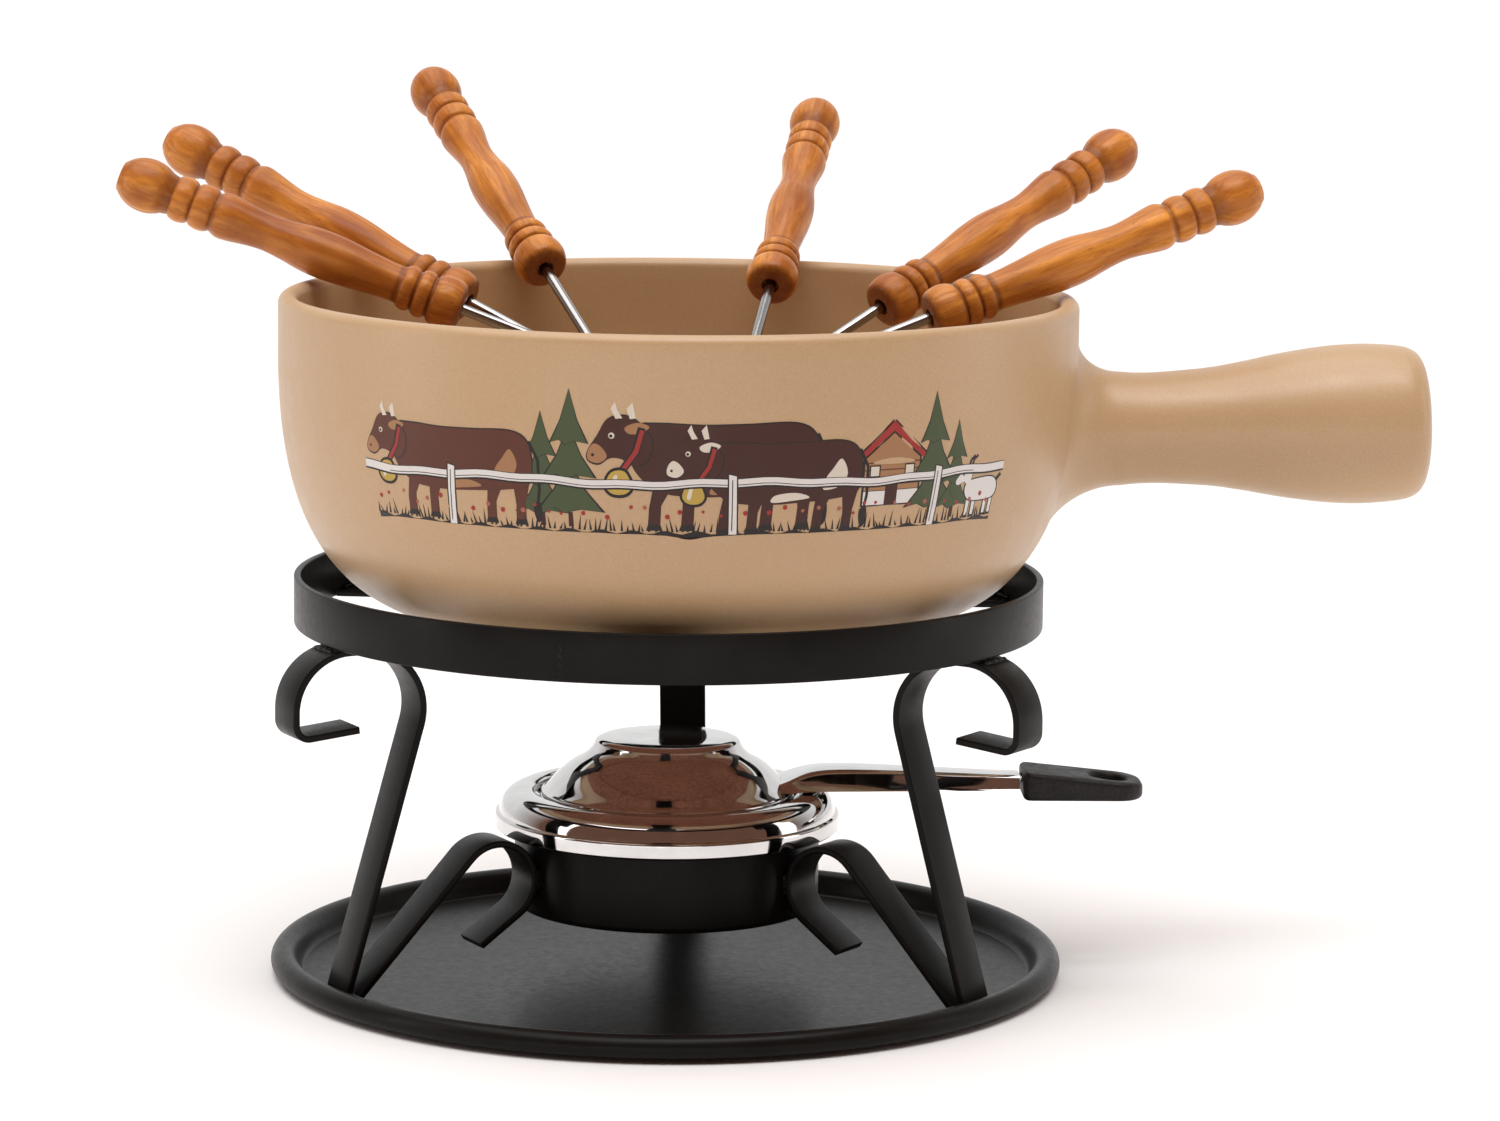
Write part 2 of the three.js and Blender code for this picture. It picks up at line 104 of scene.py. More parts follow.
def spline(knots, steps_each, closed=False):
    """A Catmull-Rom curve through the knots."""
    count = len(knots)
    points = []
    for i in range(count if closed else count - 1):
        if closed:
            p = [knots[(i + k) % count] for k in (-1, 0, 1, 2)]
        else:
            p = [knots[min(max(i + k, 0), count - 1)] for k in (-1, 0, 1, 2)]
        for j in range(steps_each):
            t = j / steps_each
            points.append(tuple(
                0.5 * (2 * p[1][k] + (p[2][k] - p[0][k]) * t
                       + (2 * p[0][k] - 5 * p[1][k] + 4 * p[2][k] - p[3][k]) * t * t
                       + (3 * p[1][k] - p[0][k] - 3 * p[2][k] + p[3][k]) * t**3)
                for k in range(len(p[0]))
            ))
    return points if closed else points + [tuple(knots[-1])]


def along(table, x):
    """The value at x in a list of (x, value) pairs, with straight lines between them."""
    if x <= table[0][0]:
        return table[0][1]
    for (x0, y0), (x1, y1) in zip(table, table[1:]):
        if x <= x1:
            return y0 + (y1 - y0) * (x - x0) / (x1 - x0)
    return table[-1][1]


def bent_line(start, heading, moves, degrees_each=5):
    """A strip's centre line: straight runs and tangent bends, like a pen on paper."""
    x, y = start
    points = [(x, y)]
    for move in moves:
        if len(move) == 1:
            x += move[0] * math.cos(math.radians(heading))
            y += move[0] * math.sin(math.radians(heading))
            points.append((x, y))
            continue
        radius, angle = move
        side = math.copysign(1, angle)
        across = math.radians(heading + 90 * side)
        centre = (x + radius * math.cos(across), y + radius * math.sin(across))
        first = heading - 90 * side
        steps = max(4, round(abs(angle) / degrees_each))
        points += arc(centre, radius, first, first + angle, steps)[1:]
        x, y = points[-1]
        heading += angle
    return points


# ------------------------------------------------------------------ meshes
def in_scene(name, data):
    """A new object that shows the data, linked into the scene."""
    made = bpy.data.objects.new(name, data)
    bpy.context.scene.collection.objects.link(made)
    return made


def smoothed(mesh):
    mesh.polygons.foreach_set("use_smooth", [True] * len(mesh.polygons))
    mesh.set_sharp_from_angle(angle=SHARP_ANGLE)


def mesh_object(name, verts, faces, materials, face_material=None):
    """A mesh in metres from points in millimetres, its faces turned outwards."""
    mesh = bpy.data.meshes.new(name)
    mesh.from_pydata([Vector(v) * MM for v in verts], [], faces)
    work = bmesh.new()
    work.from_mesh(mesh)
    bmesh.ops.recalc_face_normals(work, faces=work.faces)
    work.to_mesh(mesh)
    work.free()
    for material in materials:
        mesh.materials.append(material)
    if face_material:
        for polygon in mesh.polygons:
            polygon.material_index = face_material(polygon.center / MM)
    smoothed(mesh)
    return in_scene(name, mesh)


def turned(profile, steps):
    """Vertices and faces of a profile of (radius, height) turned about Z. The profile starts and
    ends on the axis, or closes on itself."""
    on_axis = profile[0][0] < 1e-6
    verts, rings = [], []
    for r, z in profile:
        if r < 1e-6:
            rings.append([len(verts)] * steps)
            verts.append((0, 0, z))
            continue
        rings.append(list(range(len(verts), len(verts) + steps)))
        verts += [(r * math.cos(2 * math.pi * i / steps), r * math.sin(2 * math.pi * i / steps), z)
                  for i in range(steps)]
    if not on_axis:
        rings.append(rings[0])
    return verts, skin(rings, closed=True)


def skin(rings, closed):
    """Faces between rings of vertex numbers, without the doubled corners at a pole."""
    faces = []
    count = len(rings[0])
    for a, b in zip(rings, rings[1:]):
        for i in range(count if closed else count - 1):
            j = (i + 1) % count
            corners = []
            for v in (a[i], a[j], b[j], b[i]):
                if v not in corners:
                    corners.append(v)
            if len(corners) > 2:
                faces.append(corners)
    return faces


def lofted(sections):
    """Vertices and faces of closed sections joined in order, with a cap at each end."""
    count = len(sections[0])
    verts = [p for section in sections for p in section]
    rings = [list(range(i * count, (i + 1) * count)) for i in range(len(sections))]
    faces = skin(rings, closed=True)
    faces.append(rings[0][::-1])
    faces.append(rings[-1])
    return verts, faces


def tube(points, radii, sides):
    """A closed rod through 3-D points."""
    points = [Vector(p) for p in points]
    sections = []
    normal = None
    for i, p in enumerate(points):
        ahead = (points[min(i + 1, len(points) - 1)] - points[max(i - 1, 0)]).normalized()
        if normal is None:
            normal = ahead.orthogonal().normalized()
        normal = (normal - ahead * normal.dot(ahead)).normalized()
        other = ahead.cross(normal)
        turns = [2 * math.pi * k / sides for k in range(sides)]
        sections.append([p + radii[i] * (math.cos(t) * normal + math.sin(t) * other) for t in turns])
    return lofted(sections)


def joined(*shapes):
    """Several (verts, faces) as one."""
    verts, faces = [], []
    for more_verts, more_faces in shapes:
        offset = len(verts)
        verts += [tuple(v) for v in more_verts]
        faces += [[offset + i for i in face] for face in more_faces]
    return verts, faces


def rotated(shape, degrees):
    verts, faces = shape
    turn = Matrix.Rotation(math.radians(degrees), 3, "Z")
    return [turn @ Vector(v) for v in verts], faces


def rounded_section(width, thickness, radius, steps=3):
    """A rectangle with rounded corners, centred, as (across, out) pairs."""
    a, b = width / 2 - radius, thickness / 2 - radius
    points = []
    for cx, cy, start in ((a, b, 0), (-a, b, 90), (-a, -b, 180), (a, -b, 270)):
        points += arc((cx, cy), radius, start, start + 90, steps)
    return points


def combined(target, other, operation):
    """Joins other to target, or cuts it away, and removes other."""
    modifier = target.modifiers.new("combine", "BOOLEAN")
    modifier.operation = operation
    modifier.solver = "EXACT"
    modifier.object = other
    bpy.context.view_layer.update()
    graph = bpy.context.evaluated_depsgraph_get()
    mesh = bpy.data.meshes.new_from_object(target.evaluated_get(graph))
    target.modifiers.clear()
    target.data = mesh
    smoothed(mesh)
    bpy.data.objects.remove(other)


# ------------------------------------------------------------------ materials
def shader_node(tree, kind, inputs=None, **settings):
    """Adds a node. An input takes a number, a colour or the socket that feeds it."""
    made = tree.nodes.new("ShaderNode" + kind)
    for key, value in settings.items():
        setattr(made, key, value)
    for key, value in (inputs or {}).items():
        if isinstance(value, bpy.types.NodeSocket):
            tree.links.new(value, made.inputs[key])
        else:
            made.inputs[key].default_value = value
    return made


class Shader:
    """A Principled material with a few helpers for its procedural detail."""

    def __init__(self, name, color, roughness, metallic=0.0, specular=0.5):
        self.material = bpy.data.materials.new(name)
        self.material.use_nodes = True
        self.tree = self.material.node_tree
        self.bsdf = self.tree.nodes["Principled BSDF"]
        self.set("Base Color", (*color, 1))
        self.set("Roughness", roughness)
        self.set("Metallic", metallic)
        self.set("Specular IOR Level", specular)

    def set(self, socket, value):
        self.bsdf.inputs[socket].default_value = value

    def link(self, source, socket):
        self.tree.links.new(source, self.bsdf.inputs[socket])

    def node(self, kind, inputs=None, **settings):
        return shader_node(self.tree, kind, inputs, **settings)

    def place(self, scale=(1, 1, 1), shift=(0, 0, 0), own=False):
        """Where the texture is read: in the object's space, or in a fork's own."""
        if own:
            coordinates = self.node("Attribute", attribute_name="own").outputs["Vector"]
        else:
            coordinates = self.node("TexCoord").outputs["Object"]
        mapped = self.node("Mapping", {"Vector": coordinates, "Scale": scale, "Location": shift})
        return mapped.outputs["Vector"]

    def noise(self, scale, detail, vector=None, distortion=0.0):
        inputs = {"Scale": scale, "Detail": detail, "Distortion": distortion,
                  "Vector": vector or self.place()}
        return self.node("TexNoise", inputs).outputs["Fac"]

    def spread(self, value, low, high, to_low=0.0, to_high=1.0):
        inputs = {"Value": value, "From Min": low, "From Max": high, "To Min": to_low, "To Max": to_high}
        return self.node("MapRange", inputs, clamp=True).outputs["Result"]

    def blend(self, amount, a, b):
        a, b = [c if isinstance(c, bpy.types.NodeSocket) else (*c, 1) for c in (a, b)]
        return self.node("Mix", {0: amount, 6: a, 7: b}, data_type="RGBA").outputs[2]

    def tint(self, value, low, high, a, b):
        """Colours the surface from a to b while the value goes from low to high."""
        self.link(self.blend(self.spread(value, low, high), a, b), "Base Color")

    def gloss(self, value, low, high, smooth, rough):
        """The same for its roughness."""
        self.link(self.spread(value, low, high, smooth, rough), "Roughness")

    def bump(self, height, distance_mm, strength):
        inputs = {"Height": height, "Distance": distance_mm * MM, "Strength": strength}
        previous = self.bsdf.inputs["Normal"]
        if previous.is_linked:
            inputs["Normal"] = previous.links[0].from_socket
        self.link(self.node("Bump", inputs).outputs["Normal"], "Normal")


def black_paint():
    s = Shader("black_paint", (0.006, 0.0052, 0.0045), 0.34, specular=0.11)
    s.tint(s.noise(55, 4), 0.35, 0.7, (0.0052, 0.0045, 0.0038), (0.0085, 0.0073, 0.0062))
    s.gloss(s.noise(500, 4), 0.3, 0.7, 0.3, 0.38)
    s.bump(s.noise(1100, 3), 0.02, 0.3)
    return s.material


def weld_metal():
    s = Shader("weld_metal", (0.008, 0.007, 0.006), 0.36, specular=0.11)
    s.tint(s.noise(600, 4), 0.4, 0.7, (0.005, 0.0045, 0.004), (0.014, 0.012, 0.01))
    s.bump(s.noise(900, 3), 0.12, 0.7)
    return s.material


def chrome():
    s = Shader("chrome", (0.62, 0.61, 0.605), 0.05, metallic=1)
    s.tint(s.noise(120, 4), 0.35, 0.65, (0.58, 0.57, 0.565), (0.66, 0.65, 0.645))
    s.gloss(s.noise(260, 6), 0.35, 0.75, 0.03, 0.1)
    s.bump(s.noise(60, 2), 0.05, 0.18)
    s.bump(s.noise(1500, 2), 0.004, 0.2)
    return s.material


def drawn_steel(name, color, low, high, own=False):
    """Steel with fine lines along X."""
    s = Shader(name, color, low, metallic=1)
    lines = s.noise(1, 4, s.place((60, 2600, 2600), own=own))
    s.gloss(lines, 0.3, 0.7, low, high)
    s.tint(lines, 0.35, 0.7, tuple(0.8 * c for c in color), color)
    s.bump(lines, 0.006, 0.3)
    return s.material


def wadding():
    s = Shader("wadding", (0.68, 0.65, 0.57), 0.95)
    fibre = s.noise(1, 6, s.place((300, 2200, 300)), distortion=2)
    s.tint(fibre, 0.3, 0.7, (0.5, 0.47, 0.4), (0.78, 0.76, 0.7))
    s.bump(fibre, 0.6, 0.8)
    return s.material


def gauze():
    s = Shader("gauze", (0.4, 0.39, 0.37), 0.35, metallic=1)
    where = {"Vector": s.place(), "Scale": 160.0}
    x_wires = s.node("TexWave", where, bands_direction="X").outputs["Fac"]
    y_wires = s.node("TexWave", where, bands_direction="Y").outputs["Fac"]
    weave = s.node("Math", {0: x_wires, 1: y_wires}, operation="MAXIMUM").outputs[0]
    s.tint(weave, 0.4, 0.9, (0.05, 0.05, 0.048), (0.5, 0.49, 0.47))
    s.bump(weave, 0.3, 0.8)
    return s.material


def grip_plastic():
    s = Shader("grip_plastic", (0.012, 0.0105, 0.0095), 0.5, specular=0.25)
    grain = s.noise(1300, 4)
    s.tint(grain, 0.4, 0.75, (0.009, 0.008, 0.007), (0.02, 0.0175, 0.016))
    s.gloss(s.noise(350, 3), 0.3, 0.7, 0.42, 0.6)
    s.bump(grain, 0.09, 0.8)
    return s.material


def pot_glaze():
    s = Shader("pot_glaze", (0.42, 0.285, 0.168), 0.42, specular=0.5)
    base = s.blend(s.spread(s.noise(9, 3), 0.3, 0.7), (0.45, 0.288, 0.152), (0.475, 0.308, 0.165))
    mottle = s.spread(s.noise(1500, 5), 0.4, 0.62, 0, 0.6)
    base = s.blend(mottle, base, (0.5, 0.33, 0.182))
    specks = s.spread(s.noise(2600, 2), 0.64, 0.72, 0, 0.35)
    base = s.blend(specks, base, (0.22, 0.13, 0.065))
    s.link(base, "Base Color")
    s.gloss(s.noise(160, 4), 0.3, 0.7, 0.33, 0.42)
    s.bump(s.noise(900, 3), 0.02, 0.35)
    s.bump(s.noise(45, 2), 0.12, 0.2)
    return s.material


def bare_clay():
    s = Shader("bare_clay", (0.3, 0.11, 0.055), 0.75)
    s.tint(s.noise(300, 5), 0.35, 0.7, (0.24, 0.085, 0.042), (0.38, 0.15, 0.08))
    s.bump(s.noise(1100, 4), 0.08, 0.6)
    return s.material


def fork_wood(number):
    """Varnished turned beech. The grain runs along the fork's own X, and each fork is cut from
    another part of the board."""
    s = Shader(f"fork_wood_{number}", (0.5, 0.165, 0.03), 0.36, specular=0.18)
    shift = (0.37 * number, 1.3 * number, 2.1 * number)
    drift = s.spread(s.noise(1, 3, s.place((14, 130, 130), shift, own=True), distortion=0.8), 0.3, 0.72)
    fine = s.spread(s.noise(1, 4, s.place((45, 900, 900), shift, own=True)), 0.35, 0.7)
    wood = s.blend(drift, (0.34, 0.088, 0.01), (0.80, 0.33, 0.055))
    wood = s.blend(s.spread(fine, 0, 1, 0, 0.55), wood, (0.3, 0.072, 0.007))
    pores = s.spread(s.noise(1, 2, s.place((110, 2600, 2600), shift, own=True)), 0.62, 0.72, 0, 0.55)
    wood = s.blend(pores, wood, (0.16, 0.035, 0.006))
    groove = s.node("Attribute", attribute_name="groove").outputs["Fac"]
    wood = s.blend(s.spread(groove, 0, 1, 0, 0.72), wood, (0.12, 0.026, 0.005))
    stain = s.spread(s.noise(38, 3, s.place((1, 1, 1), shift, own=True)), 0.5, 0.72, 0, 0.6)
    wood = s.blend(stain, wood, (0.2, 0.045, 0.006))
    s.link(wood, "Base Color")
    s.gloss(fine, 0, 1, 0.3, 0.46)
    s.set("Coat Weight", 0.14)
    s.set("Coat Roughness", 0.28)
    s.bump(fine, 0.03, 0.35)
    s.bump(pores, 0.05, 0.3)
    return s.material


def decal_ink(name, color):
    """One printed colour of the transfer, fired under a thin glaze."""
    s = Shader("ink_" + name, color, 0.4, specular=0.3)
    s.gloss(s.noise(160, 4), 0.3, 0.7, 0.34, 0.48)
    s.bump(s.noise(900, 3), 0.02, 0.35)
    return s.material


BLACK = black_paint()
WELD = weld_metal()
CHROME = chrome()
FORK_STEEL = drawn_steel("fork_steel", (0.38, 0.37, 0.36), 0.1, 0.22, own=True)
BURNER_STEEL = drawn_steel("burner_steel", (0.42, 0.41, 0.4), 0.3, 0.45)
WADDING = wadding()
GAUZE = gauze()
PLASTIC = grip_plastic()
GLAZE = pot_glaze()
CLAY = bare_clay()


# ------------------------------------------------------------------ tray
def make_tray():
    thickness = 0.9
    floor_r = 105.6
    roll_r = 3.6
    roll_start, roll_end = 84, -40  # degrees
    top = TRAY_HIGH.z
    crest = TRAY_HIGH.x - roll_r
    centre = (crest, top - roll_r)

    def cove(floor, height, inset):
        return bezier((floor, inset), (floor + 2.4, inset), (crest - 5, height), (crest, height), 14)

    lip_centre = arc(centre, roll_r - thickness / 2, roll_end, roll_end, 1)[0]
    lip = arc(lip_centre, thickness / 2, roll_end, roll_end - 180, 6)
    profile = [(0, thickness), (60, thickness), (floor_r - 8, thickness)]
    profile += cove(floor_r, top, thickness) + arc(centre, roll_r, roll_start, roll_end, 14) + lip[1:-1]
    profile += arc(centre, roll_r - thickness, roll_end, roll_start, 14)
    profile += cove(floor_r + 0.6, top - thickness, 0)[::-1] + [(60, 0), (0, 0)]
    tray = mesh_object("tray_pressed", *turned(profile, 192), [BLACK])
    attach(tray, "tray")
    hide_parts("tray")


# ------------------------------------------------------------------ stand
def stand_piece(name, shape, material, *nodes):
    made = mesh_object(name, *shape, [material])
    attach(made, "stand")
    if nodes:
        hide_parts(*nodes)
    return made


def bead(points, radius, seed):
    """A hand-laid weld: a rod whose thickness ripples, tapering at both ends."""
    pick = random.Random(seed)
    count = len(points)
    radii = []
    for i in range(count):
        end = math.sin(math.pi * (i + 0.6) / (count + 0.2)) ** 0.4
        radii.append(radius * end * (1 + 0.22 * math.sin(i * 1.9 + seed) + pick.uniform(-0.1, 0.1)))
    return tube(points, radii, 10)


def make_ring():
    middle = RING_R - STRIP_T / 2
    height = (RING_LOW.z + RING_HIGH.z) / 2
    section = [(middle + out, height + up) for up, out in rounded_section(STRIP_W, STRIP_T, 0.45)]
    stand_piece("ring_hoop", turned(section, 240), BLACK, "stand_ring")
    seam = math.radians(RING_SEAM_AZIMUTH)
    face = RING_R - 0.6
    points = []
    for i in range(19):
        angle = seam + math.radians(0.16 * math.sin(i * 1.7))
        points.append((face * math.cos(angle), face * math.sin(angle), RING_LOW.z + 0.5 + i * 13 / 18))
    stand_piece("ring_seam", bead(points, 0.8, 3), WELD)


# A leg's centre line from the tip of its scroll to the tip of its curl, seen from the side: a single
# length is a straight run, and a radius with an angle in degrees is a bend.
LEG_START, LEG_HEADING = (100.7, 79.7), -5.4
LEG_MOVES = [(14.7,), (4, 95.4), (3.2,), (16.5, 90), (4.9,), (17.4, 106.4), (78.1,), (2, -153.1),
             (50.4,), (11.5, 191.7), (14.5,)]


def leg_shape():
    line = bent_line(LEG_START, LEG_HEADING, LEG_MOVES)
    section = rounded_section(STRIP_W, STRIP_T, 0.42)
    sections = []
    for i, (r, z) in enumerate(line):
        before, after = line[max(i - 1, 0)], line[min(i + 1, len(line) - 1)]
        length = math.hypot(after[0] - before[0], after[1] - before[1])
        normal = (-(after[1] - before[1]) / length, (after[0] - before[0]) / length)
        sections.append([(r + normal[0] * out, across, z + normal[1] * out) for across, out in section])
    return lofted(sections)


def make_legs():
    shape = leg_shape()
    curl_x = HOLDER_HIGH.x + 0.35
    curl_z = 28.8
    edge_y = STRIP_W / 2 - 0.1
    for number, (side, azimuth) in enumerate(LEG_AZIMUTHS.items()):
        turn = azimuth + STAND_TURN
        stand_piece("leg_strip_" + side, rotated(shape, turn), BLACK, "leg_" + side)
        welds = []
        for edge in (-1, 1):
            points = [(curl_x, edge * (edge_y + 0.2 * math.sin(2.1 * i)), curl_z + 0.5 * i)
                      for i in range(12)]
            welds.append(bead(points, 1.05, 11 + number + edge))
        under = [(RING_R - 2.4, -6 + i, RING_LOW.z - 0.75) for i in range(13)]
        outer = [(RING_R + 0.3, -6 + i, RING_LOW.z - 1.1) for i in range(13)]
        welds += [bead(under, 0.8, 31 + number), bead(outer, 0.85, 41 + number)]
        stand_piece("leg_weld_" + side, rotated(joined(*welds), turn), WELD)


def plate(outline, low, high, edge):
    """A flat plate with rounded edges: the outline, shrunk a little at its top and bottom."""
    count = len(outline)
    sections = []
    for inset, z in ((edge, low), (edge * 0.3, low + edge * 0.3), (0, low + edge), (0, high - edge),
                     (edge * 0.3, high - edge * 0.3), (edge, high)):
        ring = []
        for i, (x, y) in enumerate(outline):
            ax, ay = outline[i - 1]
            bx, by = outline[(i + 1) % count]
            tangent = Vector((bx - ax, by - ay)).normalized()
            ring.append((x - tangent.y * inset, y + tangent.x * inset, z))
        sections.append(ring)
    return lofted(sections)


def make_rests():
    inner, half, spread_from, root = 50, STRIP_W / 2, 76, 101
    spread = half + (root - spread_from) * math.tan(math.radians(30))
    reach = RING_R - STRIP_T - 0.25
    wide = math.degrees(math.asin(spread / reach))
    outline = [(inner, -half), (spread_from, -half)] + arc((0, 0), reach, -wide, wide, 16)
    outline += [(spread_from, half), (inner, half)]
    low, high = RING_LOW.z, RING_LOW.z + STRIP_T
    for number, (side, azimuth) in enumerate(REST_AZIMUTHS.items()):
        turn = azimuth + STAND_TURN
        rest = rotated(plate(outline, low, high, 0.3), turn)
        stand_piece("rest_plate_" + side, rest, BLACK, "pot_rest_" + side)
        line = [(p[0], p[1], high + 0.2) for p in arc((0, 0), reach - 0.2, -9, 9, 26)]
        stand_piece("rest_weld_" + side, rotated(bead(line, 0.85, 51 + number), turn), WELD)


def make_holder():
    r, low, high, wall = HOLDER_HIGH.x, HOLDER_LOW.z, HOLDER_HIGH.z, 1
    profile = [(0, low), (r - 8, low)] + arc((r - 2, low + 2), 2, -90, 0, 8)
    profile += arc((r - wall / 2, high - wall / 2), wall / 2, 0, 180, 8)
    profile += arc((r - wall - 1.2, low + wall + 1.2), 1.2, 0, -90, 6) + [(0, low + wall)]
    stand_piece("holder_cup", turned(profile, 144), BLACK, "burner_holder")


# ------------------------------------------------------------------ burner
FLAME_R = 27.2
SHEET_T = 0.8
SEAT_R = 38


def make_cover():
    r, low, neck_top = COVER_HIGH.x, COVER_LOW.z, COVER_HIGH.z
    skirt_top, seat, top = 46.6, 50.2, 54
    crown_r = SEAT_R + 8.6

    def face(inset):
        points = [(r - inset, low + 0.4), (r - inset, skirt_top)]
        points += arc((r - 0.9 - inset, skirt_top), 0.9, 20, 60, 3)
        points += bezier((r - 1.1 - inset, skirt_top + 1), (r - 1.6 - inset, skirt_top + 5),
                         (crown_r, top - inset), (SEAT_R + 3.4, top - inset), 18)
        points += arc((SEAT_R + 2.6, top - 1.6), 1.6 - inset, 95, 180, 6)
        points += [(SEAT_R + 1 + inset, seat + 1)]
        points += [(SEAT_R - 0.2 + inset * 0.3, seat - inset), (FLAME_R + SHEET_T + 1 - inset, seat - inset)]
        points += [(FLAME_R + SHEET_T - inset, seat + 1 - inset), (FLAME_R + SHEET_T - inset, neck_top - 0.3)]
        return points

    profile = face(0) + [(FLAME_R + SHEET_T / 2, neck_top)] + face(SHEET_T)[::-1] + [(r - SHEET_T / 2, low)]
    cover = mesh_object("cover_pressed", *turned(profile, 180), [CHROME])
    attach(cover, "burner")
    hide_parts("burner_cover")


def make_regulator():
    low, high, r = REGULATOR_LOW.z, REGULATOR_HIGH.z, REGULATOR_HIGH.x
    inner = FLAME_R + SHEET_T + 0.3
    flange = high - 4
    profile = [(inner, low), (r - 0.5, low)] + arc((r - 0.5, low + 0.5), 0.5, -60, 0, 3)
    profile += arc((r - 0.5, flange - 0.5), 0.5, 0, 90, 4)
    profile += arc((inner + 1.8, flange + 0.8), 0.8, -90, -180, 5)
    profile += arc((inner + 0.5, high - 0.5), 0.5, 0, 180, 6)
    ring = mesh_object("regulator_turned", *turned(profile, 144), [CHROME])
    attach(ring, "regulator")
    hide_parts("regulator_ring")


LID_T = 0.85


def lid_dome():
    low, top = LID_LOW.z, LID_HIGH.z
    outer = [(0, top), (10, top - 0.02), (18.6, top - 0.1)]
    outer += spline([(20, top - 0.35), (21, top - 0.9), (21.5, 67.2), (22.6, 65.4), (24.6, 63.5),
                     (27.4, 61.9), (30.2, 59.9), (33, 57.2), (35, 54.9), (36, 53.9)], 4)
    rim = arc((36.2, low + 0.75), 0.72, 75, -110, 10)
    inner = [(max(r - LID_T * 0.8, 0), z - LID_T * 0.7) for r, z in outer]
    inner[0] = (0, top - LID_T)
    return turned(outer + rim + [(35.2, low + 0.9)] + inner[::-1], 180)


ARM_STATIONS = [
    # x, half width at the foot, half width at the top, foot, top
    (32.6, 13, 9.5, 54.6, 56.6), (35.4, 12.2, 9, 54.5, 57.6), (38.4, 10.8, 8, 54.5, 58.8),
    (42, 9.7, 7, 54.5, 59.8), (48, 9, 6.3, 54.5, 60.4), (60, 8.3, 5.7, 54.5, 60.3),
    (76, 7.4, 5.1, 54.5, 59.7), (92, 6.5, 4.5, 54.5, 59.1), (102.8, 6, 4.2, 54.6, 58.8),
]


def arm_shape():
    """The pressed arm: a channel with rounded shoulders, open below."""
    sections = []
    for x, foot_half, top_half, foot, top in spline(ARM_STATIONS, 4):
        round_r = min(1.8, (top - foot) * 0.4)
        outer = [(-foot_half, foot), (-(foot_half + top_half) / 2, (foot + top - round_r) / 2)]
        outer += arc((-top_half + round_r * 0.6, top - round_r), round_r, 160, 90, 5)
        inner = [(y * (1 - LID_T / foot_half), z - LID_T * (z - foot) / (top - foot)) for y, z in outer]
        loop = outer + [(-y, z) for y, z in outer[::-1]] + [(-y, z) for y, z in inner] + inner[::-1]
        sections.append([(x, y, z) for y, z in loop])
    return lofted(sections)


def make_lid():
    tang = lofted([[(x, y, TANG_Z + z) for y, z in rounded_section(6, 1.2, 0.4)] for x in (99, 104, 113)])
    arm = rotated(joined(arm_shape(), tang), ARM_AZIMUTH)
    lid = mesh_object("lid_pressed", *joined(lid_dome(), arm), [CHROME])
    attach(lid, "lid")
    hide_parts("burner_lid")


